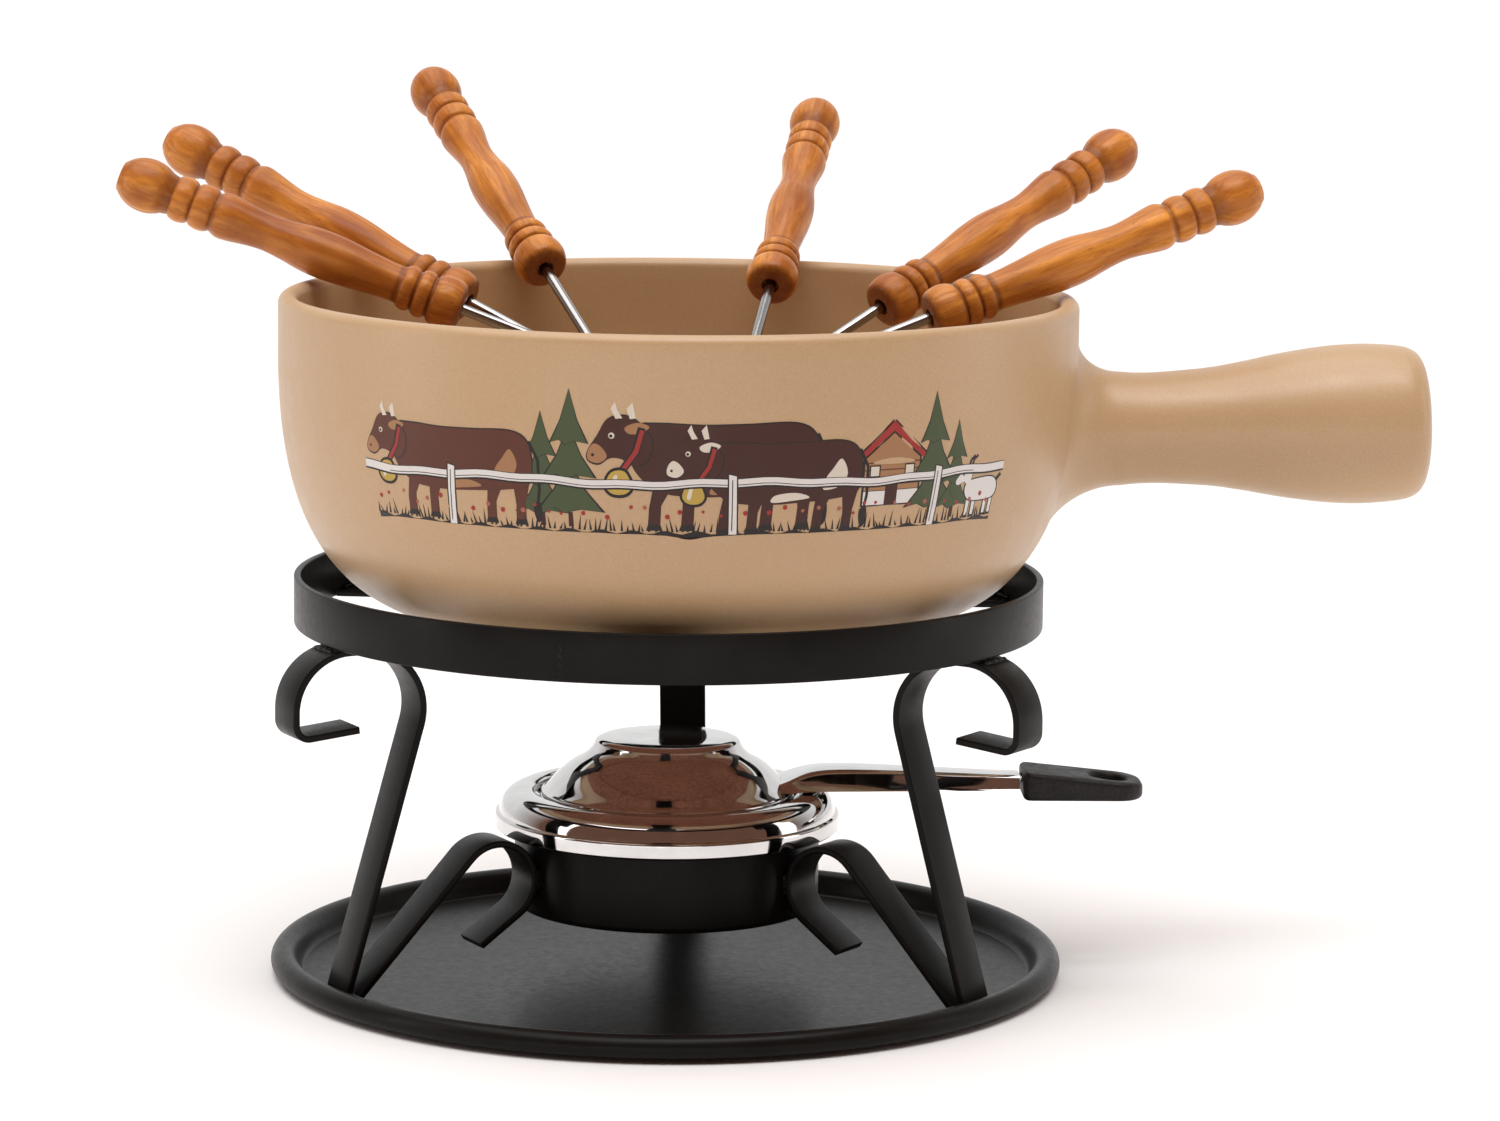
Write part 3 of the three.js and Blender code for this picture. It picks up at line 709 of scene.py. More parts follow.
def make_grip():
    """The moulded grip: a paddle that grows thinner to its end, pierced by a hanging hole."""
    start, end, half, low = 103.6, 139, 10, 52
    front, corner, hole_r = 2.6, 7.5, 5.4
    hole_x = end - 10
    edge = 1.5

    def outline(inset):
        f, c = max(front - inset, 0.4), max(corner - inset, 0.4)
        a, b, w = start + inset, end - inset, half - inset
        points = arc((a + f, f - w), f, 180, 270, 5) + arc((b - c, c - w), c, 270, 360, 12)
        return points + arc((b - c, w - c), c, 0, 90, 12) + arc((a + f, w - f), f, 90, 180, 5)

    def hole(inset):
        return arc((hole_x, 0), hole_r + inset, 360, 0, 40)[:-1]

    def top_at(x):
        return along([(start, 60.5), (start + 13, 59.4), (end, 56.9)], x)

    def side(upper):
        insets = [edge * (1 - math.cos(math.radians(a))) for a in (0, 22.5, 45, 67.5, 90)]
        loops, edges, points, drops = [], [], [], []
        for inset in insets:
            drop = edge - math.sqrt(max(edge**2 - (edge - inset) ** 2, 0))
            for ring in (outline(inset), hole(inset)):
                first = len(points)
                points += [Vector(p) for p in ring]
                drops += [drop] * len(ring)
                edges += [(first + i, first + (i + 1) % len(ring)) for i in range(len(ring))]
                loops.append(list(range(first, first + len(ring))))
        made = delaunay_2d_cdt(points, edges, [], 0, 1e-5)
        verts, triangles, origin = made[0], made[2], made[3]
        flat = []
        for tri in triangles:
            middle = sum((verts[i] for i in tri), Vector((0, 0))) / 3
            clear_of_hole = (middle - Vector((hole_x, 0))).length > hole_r * 0.998
            if in_outline(middle, outline(0)) and clear_of_hole:
                flat.append(list(tri))
        solid = []
        for i, v in enumerate(verts):
            drop = drops[origin[i][0]] if origin[i] else 0
            solid.append((v.x, v.y, top_at(v.x) - drop if upper else low + drop))
        return solid, flat, loops[:2]

    def in_outline(p, ring):
        inside = False
        for (x0, y0), (x1, y1) in zip(ring, ring[1:] + ring[:1]):
            if (y0 > p.y) != (y1 > p.y) and p.x < x0 + (p.y - y0) * (x1 - x0) / (y1 - y0):
                inside = not inside
        return inside

    upper, upper_faces, loops = side(True)
    lower, lower_faces, _ = side(False)
    offset = len(upper)
    faces = upper_faces + [[offset + i for i in reversed(f)] for f in lower_faces]
    for loop in loops:
        for i, a in enumerate(loop):
            b = loop[(i + 1) % len(loop)]
            faces.append([a, b, offset + b, offset + a])
    grip = mesh_object("grip_moulded", *rotated((upper + lower, faces), ARM_AZIMUTH), [PLASTIC])
    slot = lofted([[(x, y, TANG_Z + z) for y, z in rounded_section(6.6, 1.8, 0.3)] for x in (102, 113.4)])
    cutter = mesh_object("slot_cutter", *rotated(slot, ARM_AZIMUTH), [PLASTIC])
    combined(grip, cutter, "DIFFERENCE")
    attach(grip, "lid")
    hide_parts("lid_grip")


def finish_burner_inside():
    """The bowl, the wadding and the gauze keep their shapes and get their real materials."""
    insides = {"burner_bowl": BURNER_STEEL, "burner_wadding": WADDING, "burner_gauze": GAUZE}
    for node, material in insides.items():
        slots = frame["nodes"][node].data.materials
        slots.clear()
        slots.append(material)


# ------------------------------------------------------------------ pot
WALL = 5.6
FOOT_R = 61
STRAIGHT_Z = 180
SIDE_CURVE = ((FOOT_R, POT_Z), (FOOT_R + 35, POT_Z), (POT_R, 128.4), (POT_R, STRAIGHT_Z))
SIDE = bezier(*SIDE_CURVE, 60)


def side_radius(z):
    """Outside radius of the bowl at a height."""
    return along([(height, r) for r, height in SIDE], z)


def bowl_shape():
    lip = WALL / 2
    floor = POT_Z + 6.9
    inner = POT_R - WALL
    profile = [(0, POT_Z + 1.2), (30, POT_Z + 1.2), (FOOT_R - 13, POT_Z + 1.2)]
    profile += bezier((FOOT_R - 12, POT_Z + 1), (FOOT_R - 11.4, POT_Z), (FOOT_R - 11, POT_Z),
                      (FOOT_R - 9, POT_Z), 5)
    profile += bezier(*SIDE_CURVE, 40)
    profile += [(POT_R, 186), (POT_R, 191)]
    profile += arc((POT_R - lip, POT_TOP - lip), lip, 0, 180, 14)
    profile += [(inner, 191)]
    profile += bezier((inner, STRAIGHT_Z), (inner, 131), (FOOT_R + 29, floor), (FOOT_R - 5, floor), 36)
    profile += [(30, floor), (0, floor)]
    verts, faces = turned(profile, 216)
    return [(x + POT_X, y, z) for x, y, z in verts], faces


HANDLE_Z = 160.4
HANDLE_RISE = 1.7
HANDLE_R = [
    # distance from the bowl's axis, radius
    (127.5, 16.5), (132, 16.1), (138, 16.05), (146, 16.5), (155, 17.3), (165, 19), (172, 20.4),
    (180, 21.7), (188, 22.7), (196, 23.1), (203, 22.9), (208, 22.4), (211, 21.8), (213.6, 20.4),
    (215.2, 18.2), (216.1, 15.4),
]


def handle_shape():
    """The hollow handle: a fillet drawn out of the bowl's wall, the swelling grip and its bore."""
    end = POT_HIGH.x - POT_X - 0.4
    rise = math.tan(math.radians(HANDLE_RISE))
    sides = 96
    grip = spline(HANDLE_R, 4)
    bore = [(end - 0.25, 12.6), (end - 0.1, 11.9), (end - 0.5, 11), (end - 1.6, 10.5), (200, 12.5), (170, 13),
            (140, 10.5), (126, 8.5)]

    def on_wall(radius, c, s):
        y, z = radius * c, HANDLE_Z + radius * s
        return Vector((math.sqrt(side_radius(z) ** 2 - y * y), y, z))

    def on_handle(x, radius, c, s):
        return Vector((x - radius * s * rise, radius * c, HANDLE_Z + (x - POT_R) * rise + radius * s))

    rings = []
    for k in range(sides):
        angle = 2 * math.pi * k / sides
        c, s = math.cos(angle), math.sin(angle)
        reach = 28.5 - 1.5 * s
        first = on_handle(*grip[0], c, s)
        tight = grip[0][1] + 0.6
        lead = on_wall(tight + (reach - tight) * 0.42, c, s)
        near = on_wall(reach, c, s)
        back = first - Vector((0.55 * (first.x - on_wall(tight, c, s).x), 0, 0))
        column = [Vector((near.x - 3.2, near.y, near.z)), near - Vector((1.6, 0, 0))]
        column += [Vector(p) + Vector((-0.12 * (1 - i / 14), 0, 0))
                   for i, p in enumerate(bezier(near, lead, back, first, 14))]
        column += [on_handle(x, r, c, s) for x, r in grip[1:] + bore]
        rings.append(column)
    count = len(rings[0])
    verts = [rings[k][i] for i in range(count) for k in range(sides)]
    numbers = [list(range(i * sides, (i + 1) * sides)) for i in range(count)]
    faces = skin(numbers, closed=True)
    faces.append(numbers[0][::-1])
    faces.append(numbers[-1])
    return [(v.x + POT_X, v.y, v.z) for v in verts], faces


def make_pot():
    def which(p):
        underneath = p.z < POT_Z + 1.6 and math.hypot(p.x - POT_X, p.y) < FOOT_R + 4
        return 1 if underneath else 0

    pot = mesh_object("pot_casting", *bowl_shape(), [GLAZE, CLAY], which)
    handle = mesh_object("handle_casting", *handle_shape(), [GLAZE, CLAY])
    combined(pot, handle, "UNION")
    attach(pot, "pot")
    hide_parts("pot")


# ------------------------------------------------------------------ forks
WOOD_LENGTH = 107


def handle_radii():
    """(distance from the butt, radius) down a turned fork handle: a ball, beads and a waisted body."""
    def bulge(start, end, base, peak, power=0.55):
        steps = max(6, round((end - start) / 0.45))
        return [(start + (end - start) * i / steps,
                 base + (peak - base) * math.sin(math.pi * i / steps) ** power) for i in range(steps + 1)]

    ball = [(s, 7.95 * math.sqrt(1 - ((s - 8.4) / 9.55) ** 2)) for s in [0.1 + 0.55 * i for i in range(29)]]
    ball = [(s, r) for s, r in ball if s < 8.4 or r > 5.9]
    body = spline([(29.8, 5.9), (31.2, 6.6), (33, 6.9), (36.5, 6.5), (41, 5.8), (46, 5.4), (52, 5.9),
                   (58, 6.8), (63, 7.1), (69, 6.9), (76, 6.2), (83, 5.6), (87, 5.5)], 5)
    points = [(0, 3.9), (0.2, 4.3)] + ball[1:]
    points += bulge(16.5, 22.6, 5.7, 6.9) + bulge(22.9, 29.2, 5.8, 6.9) + body
    points += bulge(88, 92.2, 5.8, 6.8) + bulge(92.7, 97.1, 6, 7.2)
    points += bulge(97.5, 106.6, 6.1, 8, 0.5)
    points += [(WOOD_LENGTH - 0.1, 5.4), (WOOD_LENGTH, 4.8), (WOOD_LENGTH, 3)]
    return points


HANDLE_PROFILE = handle_radii()


def fork_axes(number):
    """The fork's own frame: X from the butt to the tips, Y level, and the butt as its origin."""
    joint = next(j for j in frame["joints"] if j["name"] == f"fork_{number}_slide")
    x = -Vector(joint["axis"]).normalized()
    y = Vector((0, 0, 1)).cross(x).normalized()
    z = x.cross(y)
    points = [v.co for v in frame["nodes"][f"fork_{number}_handle"].data.vertices]
    start = min(p.dot(x) for p in points)
    rim = {tuple(round(c, 6) for c in p) for p in points if p.dot(x) < start + 0.3 * MM}
    butt = sum((Vector(p) for p in rim), Vector()) / len(rim)
    turn = Matrix((x, y, z)).transposed().to_4x4()
    return Matrix.Translation(butt) @ turn


def laid_along(made, axes):
    """Moves a fork's piece to its place and keeps its own coordinates as the attribute "own"."""
    own = made.data.attributes.new("own", "FLOAT_VECTOR", "POINT")
    own.data.foreach_set("vector", [c for v in made.data.vertices for c in v.co])
    made.data.transform(axes)


def lengthwise(shape):
    """Turns a shape that was made along Z so that it lies along X."""
    verts, faces = shape
    return [(z, x, y) for x, y, z in verts], faces


def make_fork(number):
    bore, mouth, bore_end = 1.45, 2.6, 71
    profile = [(0, 0)] + [(r, s) for s, r in HANDLE_PROFILE]
    profile += [(mouth, WOOD_LENGTH), (mouth - 0.1, WOOD_LENGTH - 2.2), (bore, WOOD_LENGTH - 2.4)]
    profile += [(bore, bore_end), (0, bore_end)]
    handle = mesh_object(f"fork_{number}_grip", *lengthwise(turned(profile, 40)), [fork_wood(number)])
    groove = handle.data.attributes.new("groove", "FLOAT", "POINT")
    depths = []
    for v in handle.data.vertices:
        s, r = v.co.x / MM, math.hypot(v.co.y, v.co.z) / MM
        crest = max(radius for at, radius in HANDLE_PROFILE if abs(at - s) < 2.2)
        sunk = (crest - r - 0.35) / 0.8 if s > 12 else 0
        depths.append(min(max(sunk, 0), 1) * (0 if 31 < s < 86 else 1))
    groove.data.foreach_set("value", depths)
    shaft = mesh_object(f"fork_{number}_rod", *fork_steel_shape(), [FORK_STEEL])
    axes = fork_axes(number)
    for piece, node, slot in ((handle, "handle", "fork_wood"), (shaft, "shaft", "fork_steel")):
        laid_along(piece, axes)
        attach(piece, f"fork_{number}")
        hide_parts(f"fork_{number}_{node}")


TINE_PITCH = 3.4


def fork_steel_shape():
    """The shaft with its tang, the flattened palm and three round, pointed tines."""
    tip = 273.4
    rod = [(0, 72), (1, 73), (1.15, 76), (1.15, 104.9), (1.6, 105.4), (1.6, 231), (1.55, 236), (1, 239.5),
           (0, 241)]
    shapes = [lengthwise(turned(rod, 20))]
    palm = []
    for s, wide, thick in spline([(228, 1.4, 1.5), (233, 1.75, 1.35), (237, 2.8, 1.05), (240.5, 4.1, 0.85),
                                  (243.5, 4.3, 0.8), (245.2, 3.9, 0.6)], 4):
        turns = [math.pi * k / 10 for k in range(20)]
        palm.append([(s, wide * math.cos(a), thick * math.sin(a)) for a in turns])
    shapes.append(lofted(palm))
    taper = [(0, 0.95), (10, 0.8), (14, 0.78), (15.2, 0.95), (18, 0.12)]
    radii = [along(taper, k) for k in range(19)]
    for tine in (-1, 0, 1):
        y = tine * TINE_PITCH
        line = [(242, y * 0.92, 0), (246, y, 0), (255, y * 1.02, 0.1), (264, y * 1.02, 0.1),
                (268.6, y * 1.01, 0.05), (270.4, y, 0), (tip, y * 0.99, 0)]
        shapes.append(tube(spline(line, 3), radii, 12))
    return joined(*shapes)


# ------------------------------------------------------------------ decal
INKS = {
    "outline": (0.016, 0.011, 0.01),
    "dark_brown": (0.05, 0.0135, 0.0085),
    "brown": (0.095, 0.027, 0.014),
    "tan": (0.33, 0.165, 0.075),
    "cream": (0.62, 0.55, 0.46),
    "white": (0.66, 0.63, 0.6),
    "red": (0.3, 0.025, 0.02),
    "yellow": (0.45, 0.3, 0.06),
    "green": (0.055, 0.075, 0.03),
    "rose": (0.36, 0.1, 0.07),
}
INK_NAMES = list(INKS)
FILM_LIFT = 0.09  # how far the film stands off the glaze
FILM_T = 0.06


def closed_curve(knots):
    return spline(knots, 4, closed=True)


def moved(points, x, y, scale=1.0):
    return [(x + scale * px, y + scale * py) for px, py in points]


def disc(x, y, r, steps):
    return arc((x, y), r, 0, 360, steps)[:-1]


def stroke(points, width):
    """A line of the given width as a closed outline."""
    near, far = [], []
    for i, (x, y) in enumerate(points):
        (ax, ay), (bx, by) = points[max(i - 1, 0)], points[min(i + 1, len(points) - 1)]
        length = math.hypot(bx - ax, by - ay)
        nx, ny = -(by - ay) / length * width / 2, (bx - ax) / length * width / 2
        near.append((x + nx, y + ny))
        far.append((x - nx, y - ny))
    return near + far[::-1]


def cow(x, y, scale, coat, patch):
    """A plain grazing cow that looks to the left, as (ink, outline) in painter's order. Its feet
    stand at height y, and scale 1 is a cow 52 long and 27 high."""
    body = closed_curve([(8, 24.6), (14, 25.6), (24, 25.2), (35, 25.4), (46, 25.6), (51, 23), (52.4, 17),
                         (51, 11), (44, 9.4), (34, 8.6), (24, 8.2), (15, 9), (10, 12), (7, 17)])
    tail = stroke([(51.6, 23), (54.2, 18), (54.4, 10), (53.6, 5)], 0.9)
    tail_end = closed_curve([(52.6, 6), (54.6, 6.4), (54.8, 2.4), (53.6, 0.8), (52.6, 3)])
    parts = [("outline", tail), ("outline", tail_end)]
    for foot, knee in ((13, 15), (21, 22), (40, 41.5), (49, 49)):
        leg = [(knee - 2.4, 12), (foot - 1.7, 5.4), (foot - 2, 1.2), (foot - 2.4, 0), (foot + 1.3, 0),
               (foot + 1, 1.4), (foot + 1.2, 6), (knee + 2.6, 12)]
        parts.append((coat, leg))
        parts.append(("outline", [(foot - 2, 1.3), (foot - 2.5, -0.1), (foot + 1.4, -0.1), (foot + 1, 1.5)]))
    parts.append(("outline", [(px * 1.012 - 0.3, py * 1.02 - 0.2) for px, py in body]))
    parts.append((coat, body))
    parts.append((patch, closed_curve([(41, 12), (46, 13), (48, 16.6), (46, 20.6), (43.6, 18), (41.4, 15)])))
    parts.append((patch, closed_curve([(26, 8.8), (32, 9.2), (37, 10), (33, 11.4), (27, 10.8)])))
    head = closed_curve([(9, 25.6), (5.4, 27.4), (1.4, 26.4), (-1, 22.6), (-3.4, 18.8), (-3.2, 16.6),
                         (-0.6, 15.8), (2, 17.4), (4.8, 17.2), (8, 15.4), (11, 17), (12, 21.6)])
    parts.append(("outline", [(px * 1.03, 21.5 + (py - 21.5) * 1.045) for px, py in head]))
    parts.append((coat, head))
    muzzle = [(-3.2, 18.9), (-3.2, 16.7), (-0.6, 16), (1.3, 17.6), (0, 19.8), (-1.8, 20.6)]
    parts.append((patch, closed_curve(muzzle)))
    parts.append(("outline", disc(-2.1, 17.9, 0.4, 8)))
    parts.append(("cream", disc(2.4, 22.6, 0.75, 10)))
    parts.append(("outline", disc(2.3, 22.5, 0.42, 8)))
    parts.append((patch, closed_curve([(5.6, 24.6), (8.6, 25.8), (11.4, 24.8), (9, 23.2), (6.4, 23.2)])))
    for side in (0, 1):
        horn = [(3.4 + 3.4 * side, 26.6), (2.2 + 3.8 * side, 29), (3.2 + 4.2 * side, 30.6),
                (3.8 + 4 * side, 28.8), (5 + 3.2 * side, 26.8)]
        parts.append(("cream", horn))
    collar_edge = stroke([(9.6, 24.6), (8.2, 19), (4.6, 13.8)], 1.9)
    collar = stroke([(9.7, 24), (8.3, 19), (5.2, 14.6)], 1.1)
    parts += [("outline", collar_edge), ("red", collar)]
    bell_edge = [(2, 14.4), (5.8, 14.8), (7.8, 10.6), (6, 8), (2.2, 8), (0.2, 10.6)]
    bell = [(2.3, 13.8), (5.5, 14.1), (7.1, 10.6), (5.6, 8.7), (2.5, 8.7), (0.9, 10.7)]
    parts += [("outline", closed_curve(bell_edge)), ("yellow", closed_curve(bell))]
    parts.append(("cream", closed_curve([(2.9, 12.9), (3.8, 13), (3.2, 10), (2.2, 10.2)])))
    return [(ink, moved(points, x, y, scale)) for ink, points in parts]


def fir(x, y, height):
    """A small fir tree in three tiers."""
    parts = [("dark_brown", [(x - 0.7, y), (x + 0.7, y), (x + 0.6, y + 4), (x - 0.6, y + 4)])]
    for tier in range(3):
        low = y + height * (0.12 + 0.26 * tier)
        top = low + height * 0.4
        half = height * (0.25 - 0.055 * tier)
        crown = [(x, top), (x - half * 0.45, low + height * 0.17), (x - half, low),
                 (x - half * 0.5, low + 0.8), (x - half * 0.2, low - 0.5), (x + half * 0.3, low + 0.6),
                 (x + half, low), (x + half * 0.45, low + height * 0.17)]
        parts.append(("outline", [(x + (px - x) * 1.1, low + (py - low) * 1.03 - 0.15) for px, py in crown]))
        parts.append(("green", crown))
    return parts


def hut(x, y):
    """A herder's hut: a timber front, a stone foot and a red roof."""
    border = [(x - 9.4, y), (x + 9.4, y), (x + 9.4, y + 13.2), (x, y + 21.4), (x - 9.4, y + 13.2)]
    timber = [(x - 8.8, y + 4.4), (x + 8.8, y + 4.4), (x + 8.8, y + 13), (x, y + 20), (x - 8.8, y + 13)]
    stone = [(x - 8.8, y + 0.4), (x + 8.8, y + 0.4), (x + 8.8, y + 4.2), (x - 8.8, y + 4.2)]
    parts = [("outline", border), ("tan", timber), ("white", stone)]
    for i in range(4):
        parts.append(("brown", stroke([(x - 8.8, y + 6 + 2 * i), (x + 8.8, y + 6 + 2 * i)], 0.35)))
    parts.append(("dark_brown", [(x - 2, y + 0.4), (x + 2, y + 0.4), (x + 2, y + 8), (x - 2, y + 8)]))
    for side in (-1, 1):
        parts.append(("outline", moved([(-1.7, 8), (1.7, 8), (1.7, 11.4), (-1.7, 11.4)], x + side * 5.6, y)))
        parts.append(("cream", moved([(-1.3, 8.4), (1.3, 8.4), (1.3, 11), (-1.3, 11)], x + side * 5.6, y)))
        roof = [(x, y + 23.4), (x + side * 12.4, y + 12.6), (x + side * 12.4, y + 10.9), (x, y + 20.6)]
        roof_edge = [(px + side * 0.35, py + (0.35 if py > y + 11 else -0.35)) for px, py in roof]
        parts.append(("outline", roof_edge))
        parts.append(("red", roof))
    return parts


def goat(x, y, scale):
    """A small white goat that looks to the left."""
    body = closed_curve([(3, 10.4), (8, 11.2), (14, 11), (16.4, 8.6), (15.4, 5.2), (9, 4.6), (4, 5.2),
                         (2, 7.8)])
    head = closed_curve([(4.6, 13.4), (2.6, 15), (0, 13.4), (-2.2, 11), (-1.2, 9.8), (1.4, 10.6), (3.4, 9)])
    parts = []
    for foot in (4, 6.6, 12, 14.6):
        parts.append(("outline", [(foot - 1, 6), (foot - 0.95, -0.2), (foot + 0.95, -0.2), (foot + 1.1, 6)]))
        parts.append(("white", [(foot - 0.65, 6), (foot - 0.6, 0.5), (foot + 0.6, 0.5), (foot + 0.75, 6)]))
    for shape in (body, head):
        cx = sum(p[0] for p in shape) / len(shape)
        cy = sum(p[1] for p in shape) / len(shape)
        parts.append(("outline", [(cx + (px - cx) * 1.06, cy + (py - cy) * 1.1) for px, py in shape]))
    parts += [("white", body), ("white", head), ("outline", disc(0.9, 12.7, 0.36, 8))]
    for lean in (0, 1.2):
        parts.append(("outline", stroke([(2.6 + lean, 14.4), (3.6 + lean, 17), (5.2 + lean, 18)], 0.7)))
    parts.append(("outline", stroke([(16, 10), (18, 11.6)], 1.1)))
    return [(ink, moved(points, x, y, scale)) for ink, points in parts]


def tufts(start, end, y, pick):
    """Blades of grass along a strip of ground, and small flowers over it."""
    parts = []
    x = start
    while x < end:
        tall = pick.uniform(1.4, 4.4)
        lean = pick.uniform(-1, 1)
        parts.append(("outline", [(x - 0.34, y), (x + lean, y + tall), (x + 0.34, y)]))
        x += pick.uniform(0.9, 2.1)
    x = start + 2
    while x < end - 2:
        height = y + pick.uniform(3.2, 7)
        parts.append(("red" if pick.random() < 0.6 else "rose", disc(x, height, pick.uniform(0.45, 0.75), 7)))
        x += pick.uniform(3, 7)
    return parts


def fence(start, end, y):
    """A wandering rail with a line along its grain."""
    def wander(x):
        return y + 0.5 * math.sin(x * 0.09) + 0.25 * math.sin(x * 0.31 + 1)

    width = 2.1
    xs = [start + (end - start) * i / 60 for i in range(61)]
    return [("outline", stroke([(x, wander(x)) for x in xs], width + 0.7)),
            ("white", stroke([(x, wander(x) + 0.15) for x in xs], width)),
            ("outline", stroke([(x, wander(x) - 0.35) for x in xs[3:-4]], 0.22))]


def fence_post(x, low, high):
    lean = 0.8 if int(x) % 2 else -0.6
    shape = [(x - 1.1, low), (x + 1.1, low), (x + 1.2 + lean, high), (x - 0.9 + lean, high + 0.5)]
    border = [(x - 1.5, low - 0.1), (x + 1.5, low - 0.1), (x + 1.6 + lean, high + 0.3),
              (x - 1.3 + lean, high + 0.9)]
    grain = stroke([(x - 0.3, low + 1), (x + lean * 0.8, high - 1)], 0.28)
    return [("outline", border), ("white", shape), ("outline", grain)]


GROUND = 145.4
BAND_START, BAND_END = -101, 101


def alpine_scene():
    """The whole transfer, in millimetres round the wall and up it, in painter's order."""
    pick = random.Random(12)
    parts = []
    parts += fir(-41, GROUND + 1, 30) + fir(-33, GROUND + 1, 36)
    parts += hut(58, GROUND + 6)
    parts += fir(72, GROUND + 1, 34) + fir(80.5, GROUND + 1, 26)
    parts += cow(-96, GROUND + 0.8, 1.0, "brown", "tan")
    parts += cow(-24, GROUND + 0.6, 1.14, "dark_brown", "tan")
    parts += cow(-3, GROUND - 0.4, 0.98, "dark_brown", "cream")
    parts += goat(83, GROUND + 0.5, 0.95)
    ground = [(BAND_START + 3, GROUND - 1.4)]
    ground += [(x, GROUND + 0.55 * math.sin(x * 0.7)) for x in range(BAND_START + 3, BAND_END - 2, 2)]
    ground += [(BAND_END - 3, GROUND - 1.2), (0, GROUND - 1.9)]
    parts.append(("outline", ground))
    parts += tufts(BAND_START + 3, BAND_END - 4, GROUND + 0.2, pick)
    parts += fence(BAND_START, BAND_END, GROUND + 13.4)
    for x in (-69.5, 12, 73):
        parts += fence_post(x, GROUND - 0.5, GROUND + 15.6)
    return parts


def wrapped(x, z, lift):
    """A point of the transfer laid on the wall: x is the distance round it from the front."""
    angle = x / POT_R - math.pi / 2 + math.radians(1.6)
    r = side_radius(z) + lift
    return (POT_X + r * math.cos(angle), r * math.sin(angle), z)


def turning(outline):
    """Twice the signed area: positive when the outline runs anticlockwise."""
    pairs = zip(outline, outline[1:] + outline[:1])
    return sum(ax * by - bx * ay for (ax, ay), (bx, by) in pairs)


def flattened(parts, step):
    """Cuts overlapping outlines into triangles that each show only the topmost ink. A grid of
    points keeps the triangles small enough to follow the wall."""
    points, polygons = [], []
    for _, outline in parts:
        if turning(outline) < 0:
            outline = outline[::-1]
        polygons.append(list(range(len(points), len(points) + len(outline))))
        points += [Vector(p) for p in outline]
    low = min(p.y for p in points)
    high = max(p.y for p in points)
    x = BAND_START
    while x <= BAND_END:
        z = low
        while z <= high:
            points.append(Vector((x, z)))
            z += step
        x += step
    made = delaunay_2d_cdt(points, [], polygons, 1, 1e-4)
    verts, faces, origins = made[0], made[2], made[5]
    shown = [(face, max(source)) for face, source in zip(faces, origins) if source]
    return verts, shown


def make_decal():
    parts = alpine_scene()
    verts, shown = flattened(parts, 2.4)
    used = sorted({i for face, _ in shown for i in face})
    number = {old: new for new, old in enumerate(used)}
    count = len(used)
    points = [wrapped(verts[i].x, verts[i].y, FILM_LIFT) for i in used]
    points += [wrapped(verts[i].x, verts[i].y, FILM_LIFT - FILM_T) for i in used]
    faces, inks, borders = [], [], {}
    for face, source in shown:
        corners = [number[i] for i in face]
        ink = INK_NAMES.index(parts[source][0])
        faces += [corners, [count + i for i in reversed(corners)]]
        inks += [ink, ink]
        for a, b in zip(corners, corners[1:] + corners[:1]):
            if (b, a) in borders:
                del borders[(b, a)]
            else:
                borders[(a, b)] = ink
    for (a, b), ink in borders.items():
        faces.append([b, a, count + a, count + b])
        inks.append(ink)
    mesh = bpy.data.meshes.new("pot_transfer")
    mesh.from_pydata([Vector(p) * MM for p in points], [], faces)
    for name, color in INKS.items():
        mesh.materials.append(decal_ink(name, color))
    mesh.polygons.foreach_set("material_index", inks)
    mesh.update()
    smoothed(mesh)
    film = in_scene("pot_transfer", mesh)
    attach(film, "pot")


# ------------------------------------------------------------------ studio
def make_camera():
    """A long lens at table height, a little above the pot, aimed just right of the set's axis."""
    place = Vector((0, -1.4477, 0.34207))
    pitch, yaw, roll = math.radians(8.677), -0.01618, 0.0113
    forward = Vector((0, math.cos(pitch), -math.sin(pitch)))
    up = Vector((0, math.sin(pitch), math.cos(pitch)))
    turn = Matrix.Rotation(yaw, 3, "Z")
    forward, up, right = turn @ forward, turn @ up, turn @ Vector((1, 0, 0))
    level_right = math.cos(roll) * right + math.sin(roll) * up
    level_up = -math.sin(roll) * right + math.cos(roll) * up
    data = bpy.data.cameras.new("camera")
    data.sensor_width = 36
    data.lens = 121.08
    data.clip_start, data.clip_end = 0.05, 60
    camera = in_scene("camera", data)
    turn = Matrix((level_right, level_up, -forward)).transposed().to_4x4()
    camera.matrix_world = Matrix.Translation(place) @ turn
    bpy.context.scene.camera = camera


def area_light(name, place, aim, width, height, power):
    data = bpy.data.lights.new(name, "AREA")
    data.shape = "RECTANGLE"
    data.size, data.size_y = width, height
    data.energy = power
    light = in_scene(name, data)
    light.location = place
    light.rotation_euler = (Vector(aim) - Vector(place)).to_track_quat("-Z", "Y").to_euler()


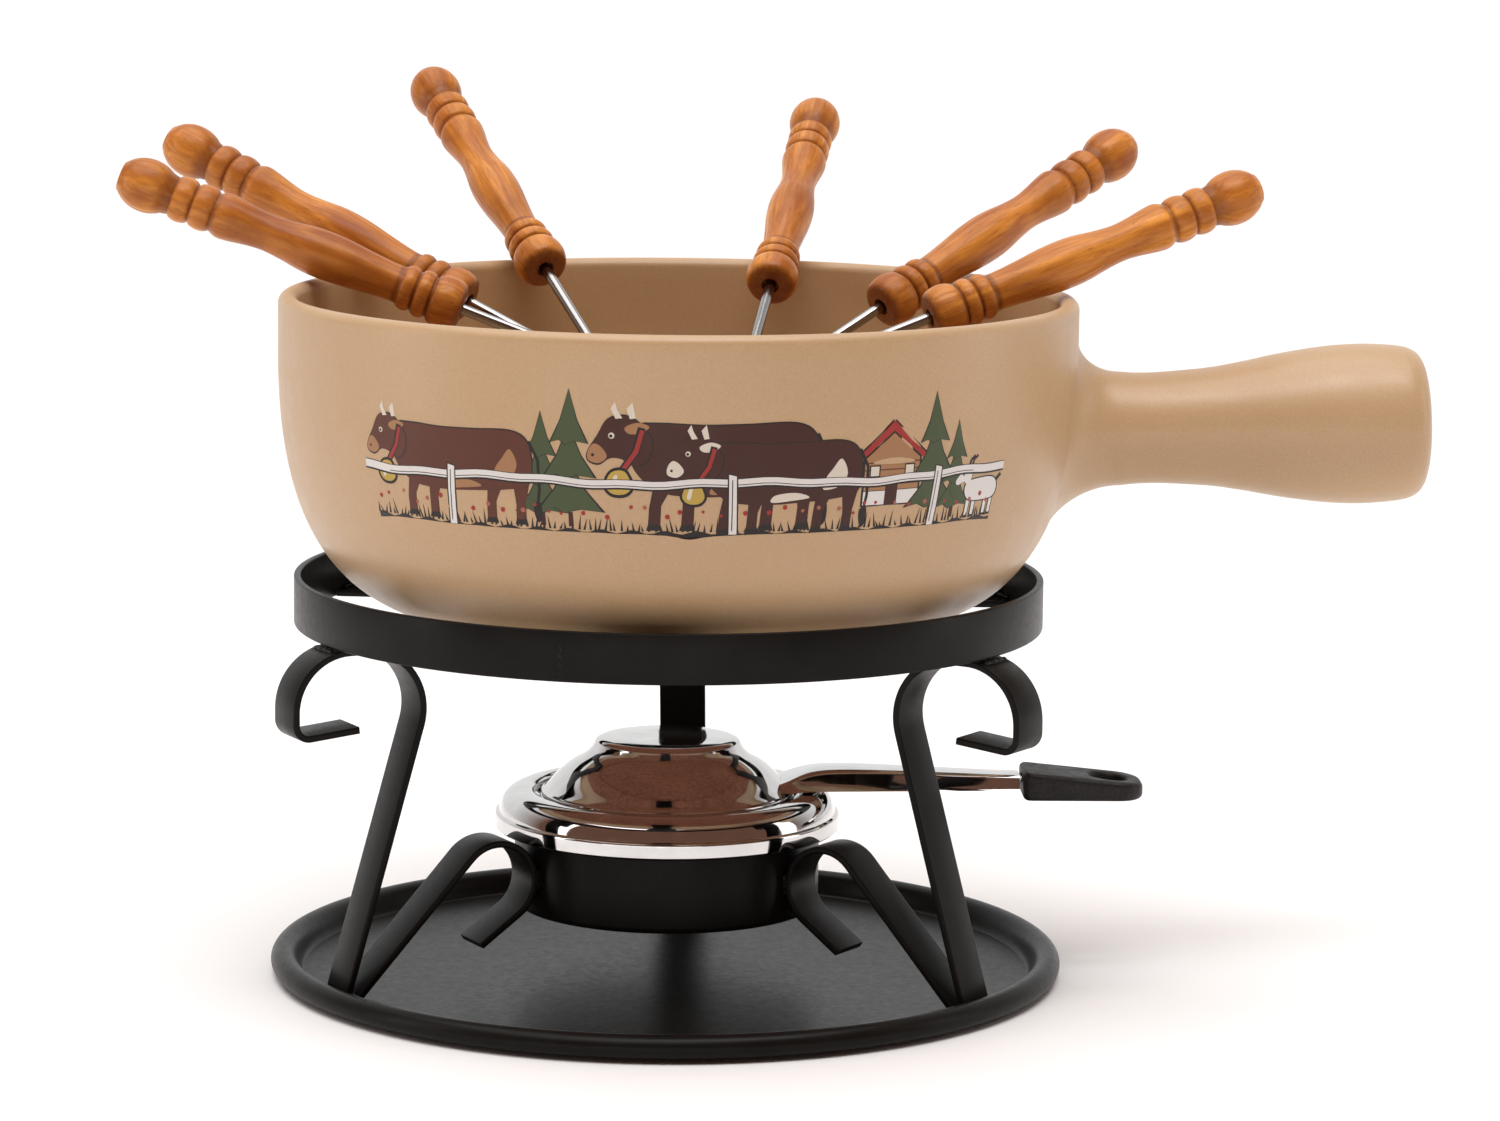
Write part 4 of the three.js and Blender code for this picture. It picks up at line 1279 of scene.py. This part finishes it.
def make_studio():
    s = Shader("floor", (0.9, 0.9, 0.9), 0.7, specular=0.1)
    s.link(s.blend(s.noise(2, 2), (0.89, 0.89, 0.89), (0.91, 0.91, 0.91)), "Base Color")
    half = 40
    corners = [(-half, -half, 0), (half, -half, 0), (half, half, 0), (-half, half, 0)]
    mesh = bpy.data.meshes.new("floor")
    mesh.from_pydata(corners, [], [(0, 1, 2, 3)])
    mesh.materials.append(s.material)
    floor = in_scene("floor", mesh)
    floor.location.z = -0.0002
    world = bpy.data.worlds.new("studio")
    world.use_nodes = True
    tree = world.node_tree
    direction = shader_node(tree, "TexCoord").outputs["Generated"]
    forward = shader_node(tree, "SeparateXYZ", {0: direction}).outputs["Y"]
    limits = {"Value": forward, "From Min": 0.1, "From Max": 0.7}
    behind = shader_node(tree, "MapRange", limits).outputs["Result"]
    colors = {0: behind, 6: (0.17, 0.085, 0.058, 1), 7: (0.95, 0.95, 0.95, 1)}
    glow = shader_node(tree, "Mix", colors, data_type="RGBA").outputs[2]
    tree.links.new(glow, tree.nodes["Background"].inputs["Color"])
    bpy.context.scene.world = world
    sun = bpy.data.lights.new("overhead", "SUN")
    sun.energy = 2.65
    sun.angle = math.radians(70)
    overhead = in_scene("overhead", sun)
    overhead.rotation_euler = (math.radians(4), math.radians(-5), 0)
    aim = (0.02, 0, 0.11)
    area_light("left_box", (-1.4, -0.3, 0.5), aim, 0.4, 1.0, 3.5)
    area_light("right_box", (1.5, 0, 0.5), aim, 0.4, 1.0, 2.6)
    area_light("top_box", (0.15, -0.42, 1.4), aim, 1.1, 0.22, 5)
    area_light("front_box", (-0.3, -1.7, 0.05), aim, 2.2, 0.08, 2.5)
    bpy.context.scene.view_settings.view_transform = "Standard"


# ------------------------------------------------------------------ the set
make_camera()
make_studio()
make_tray()
make_ring()
make_legs()
make_rests()
make_holder()
make_cover()
make_regulator()
make_lid()
make_grip()
finish_burner_inside()
make_pot()
for fork_number in range(1, 7):
    make_fork(fork_number)
make_decal()
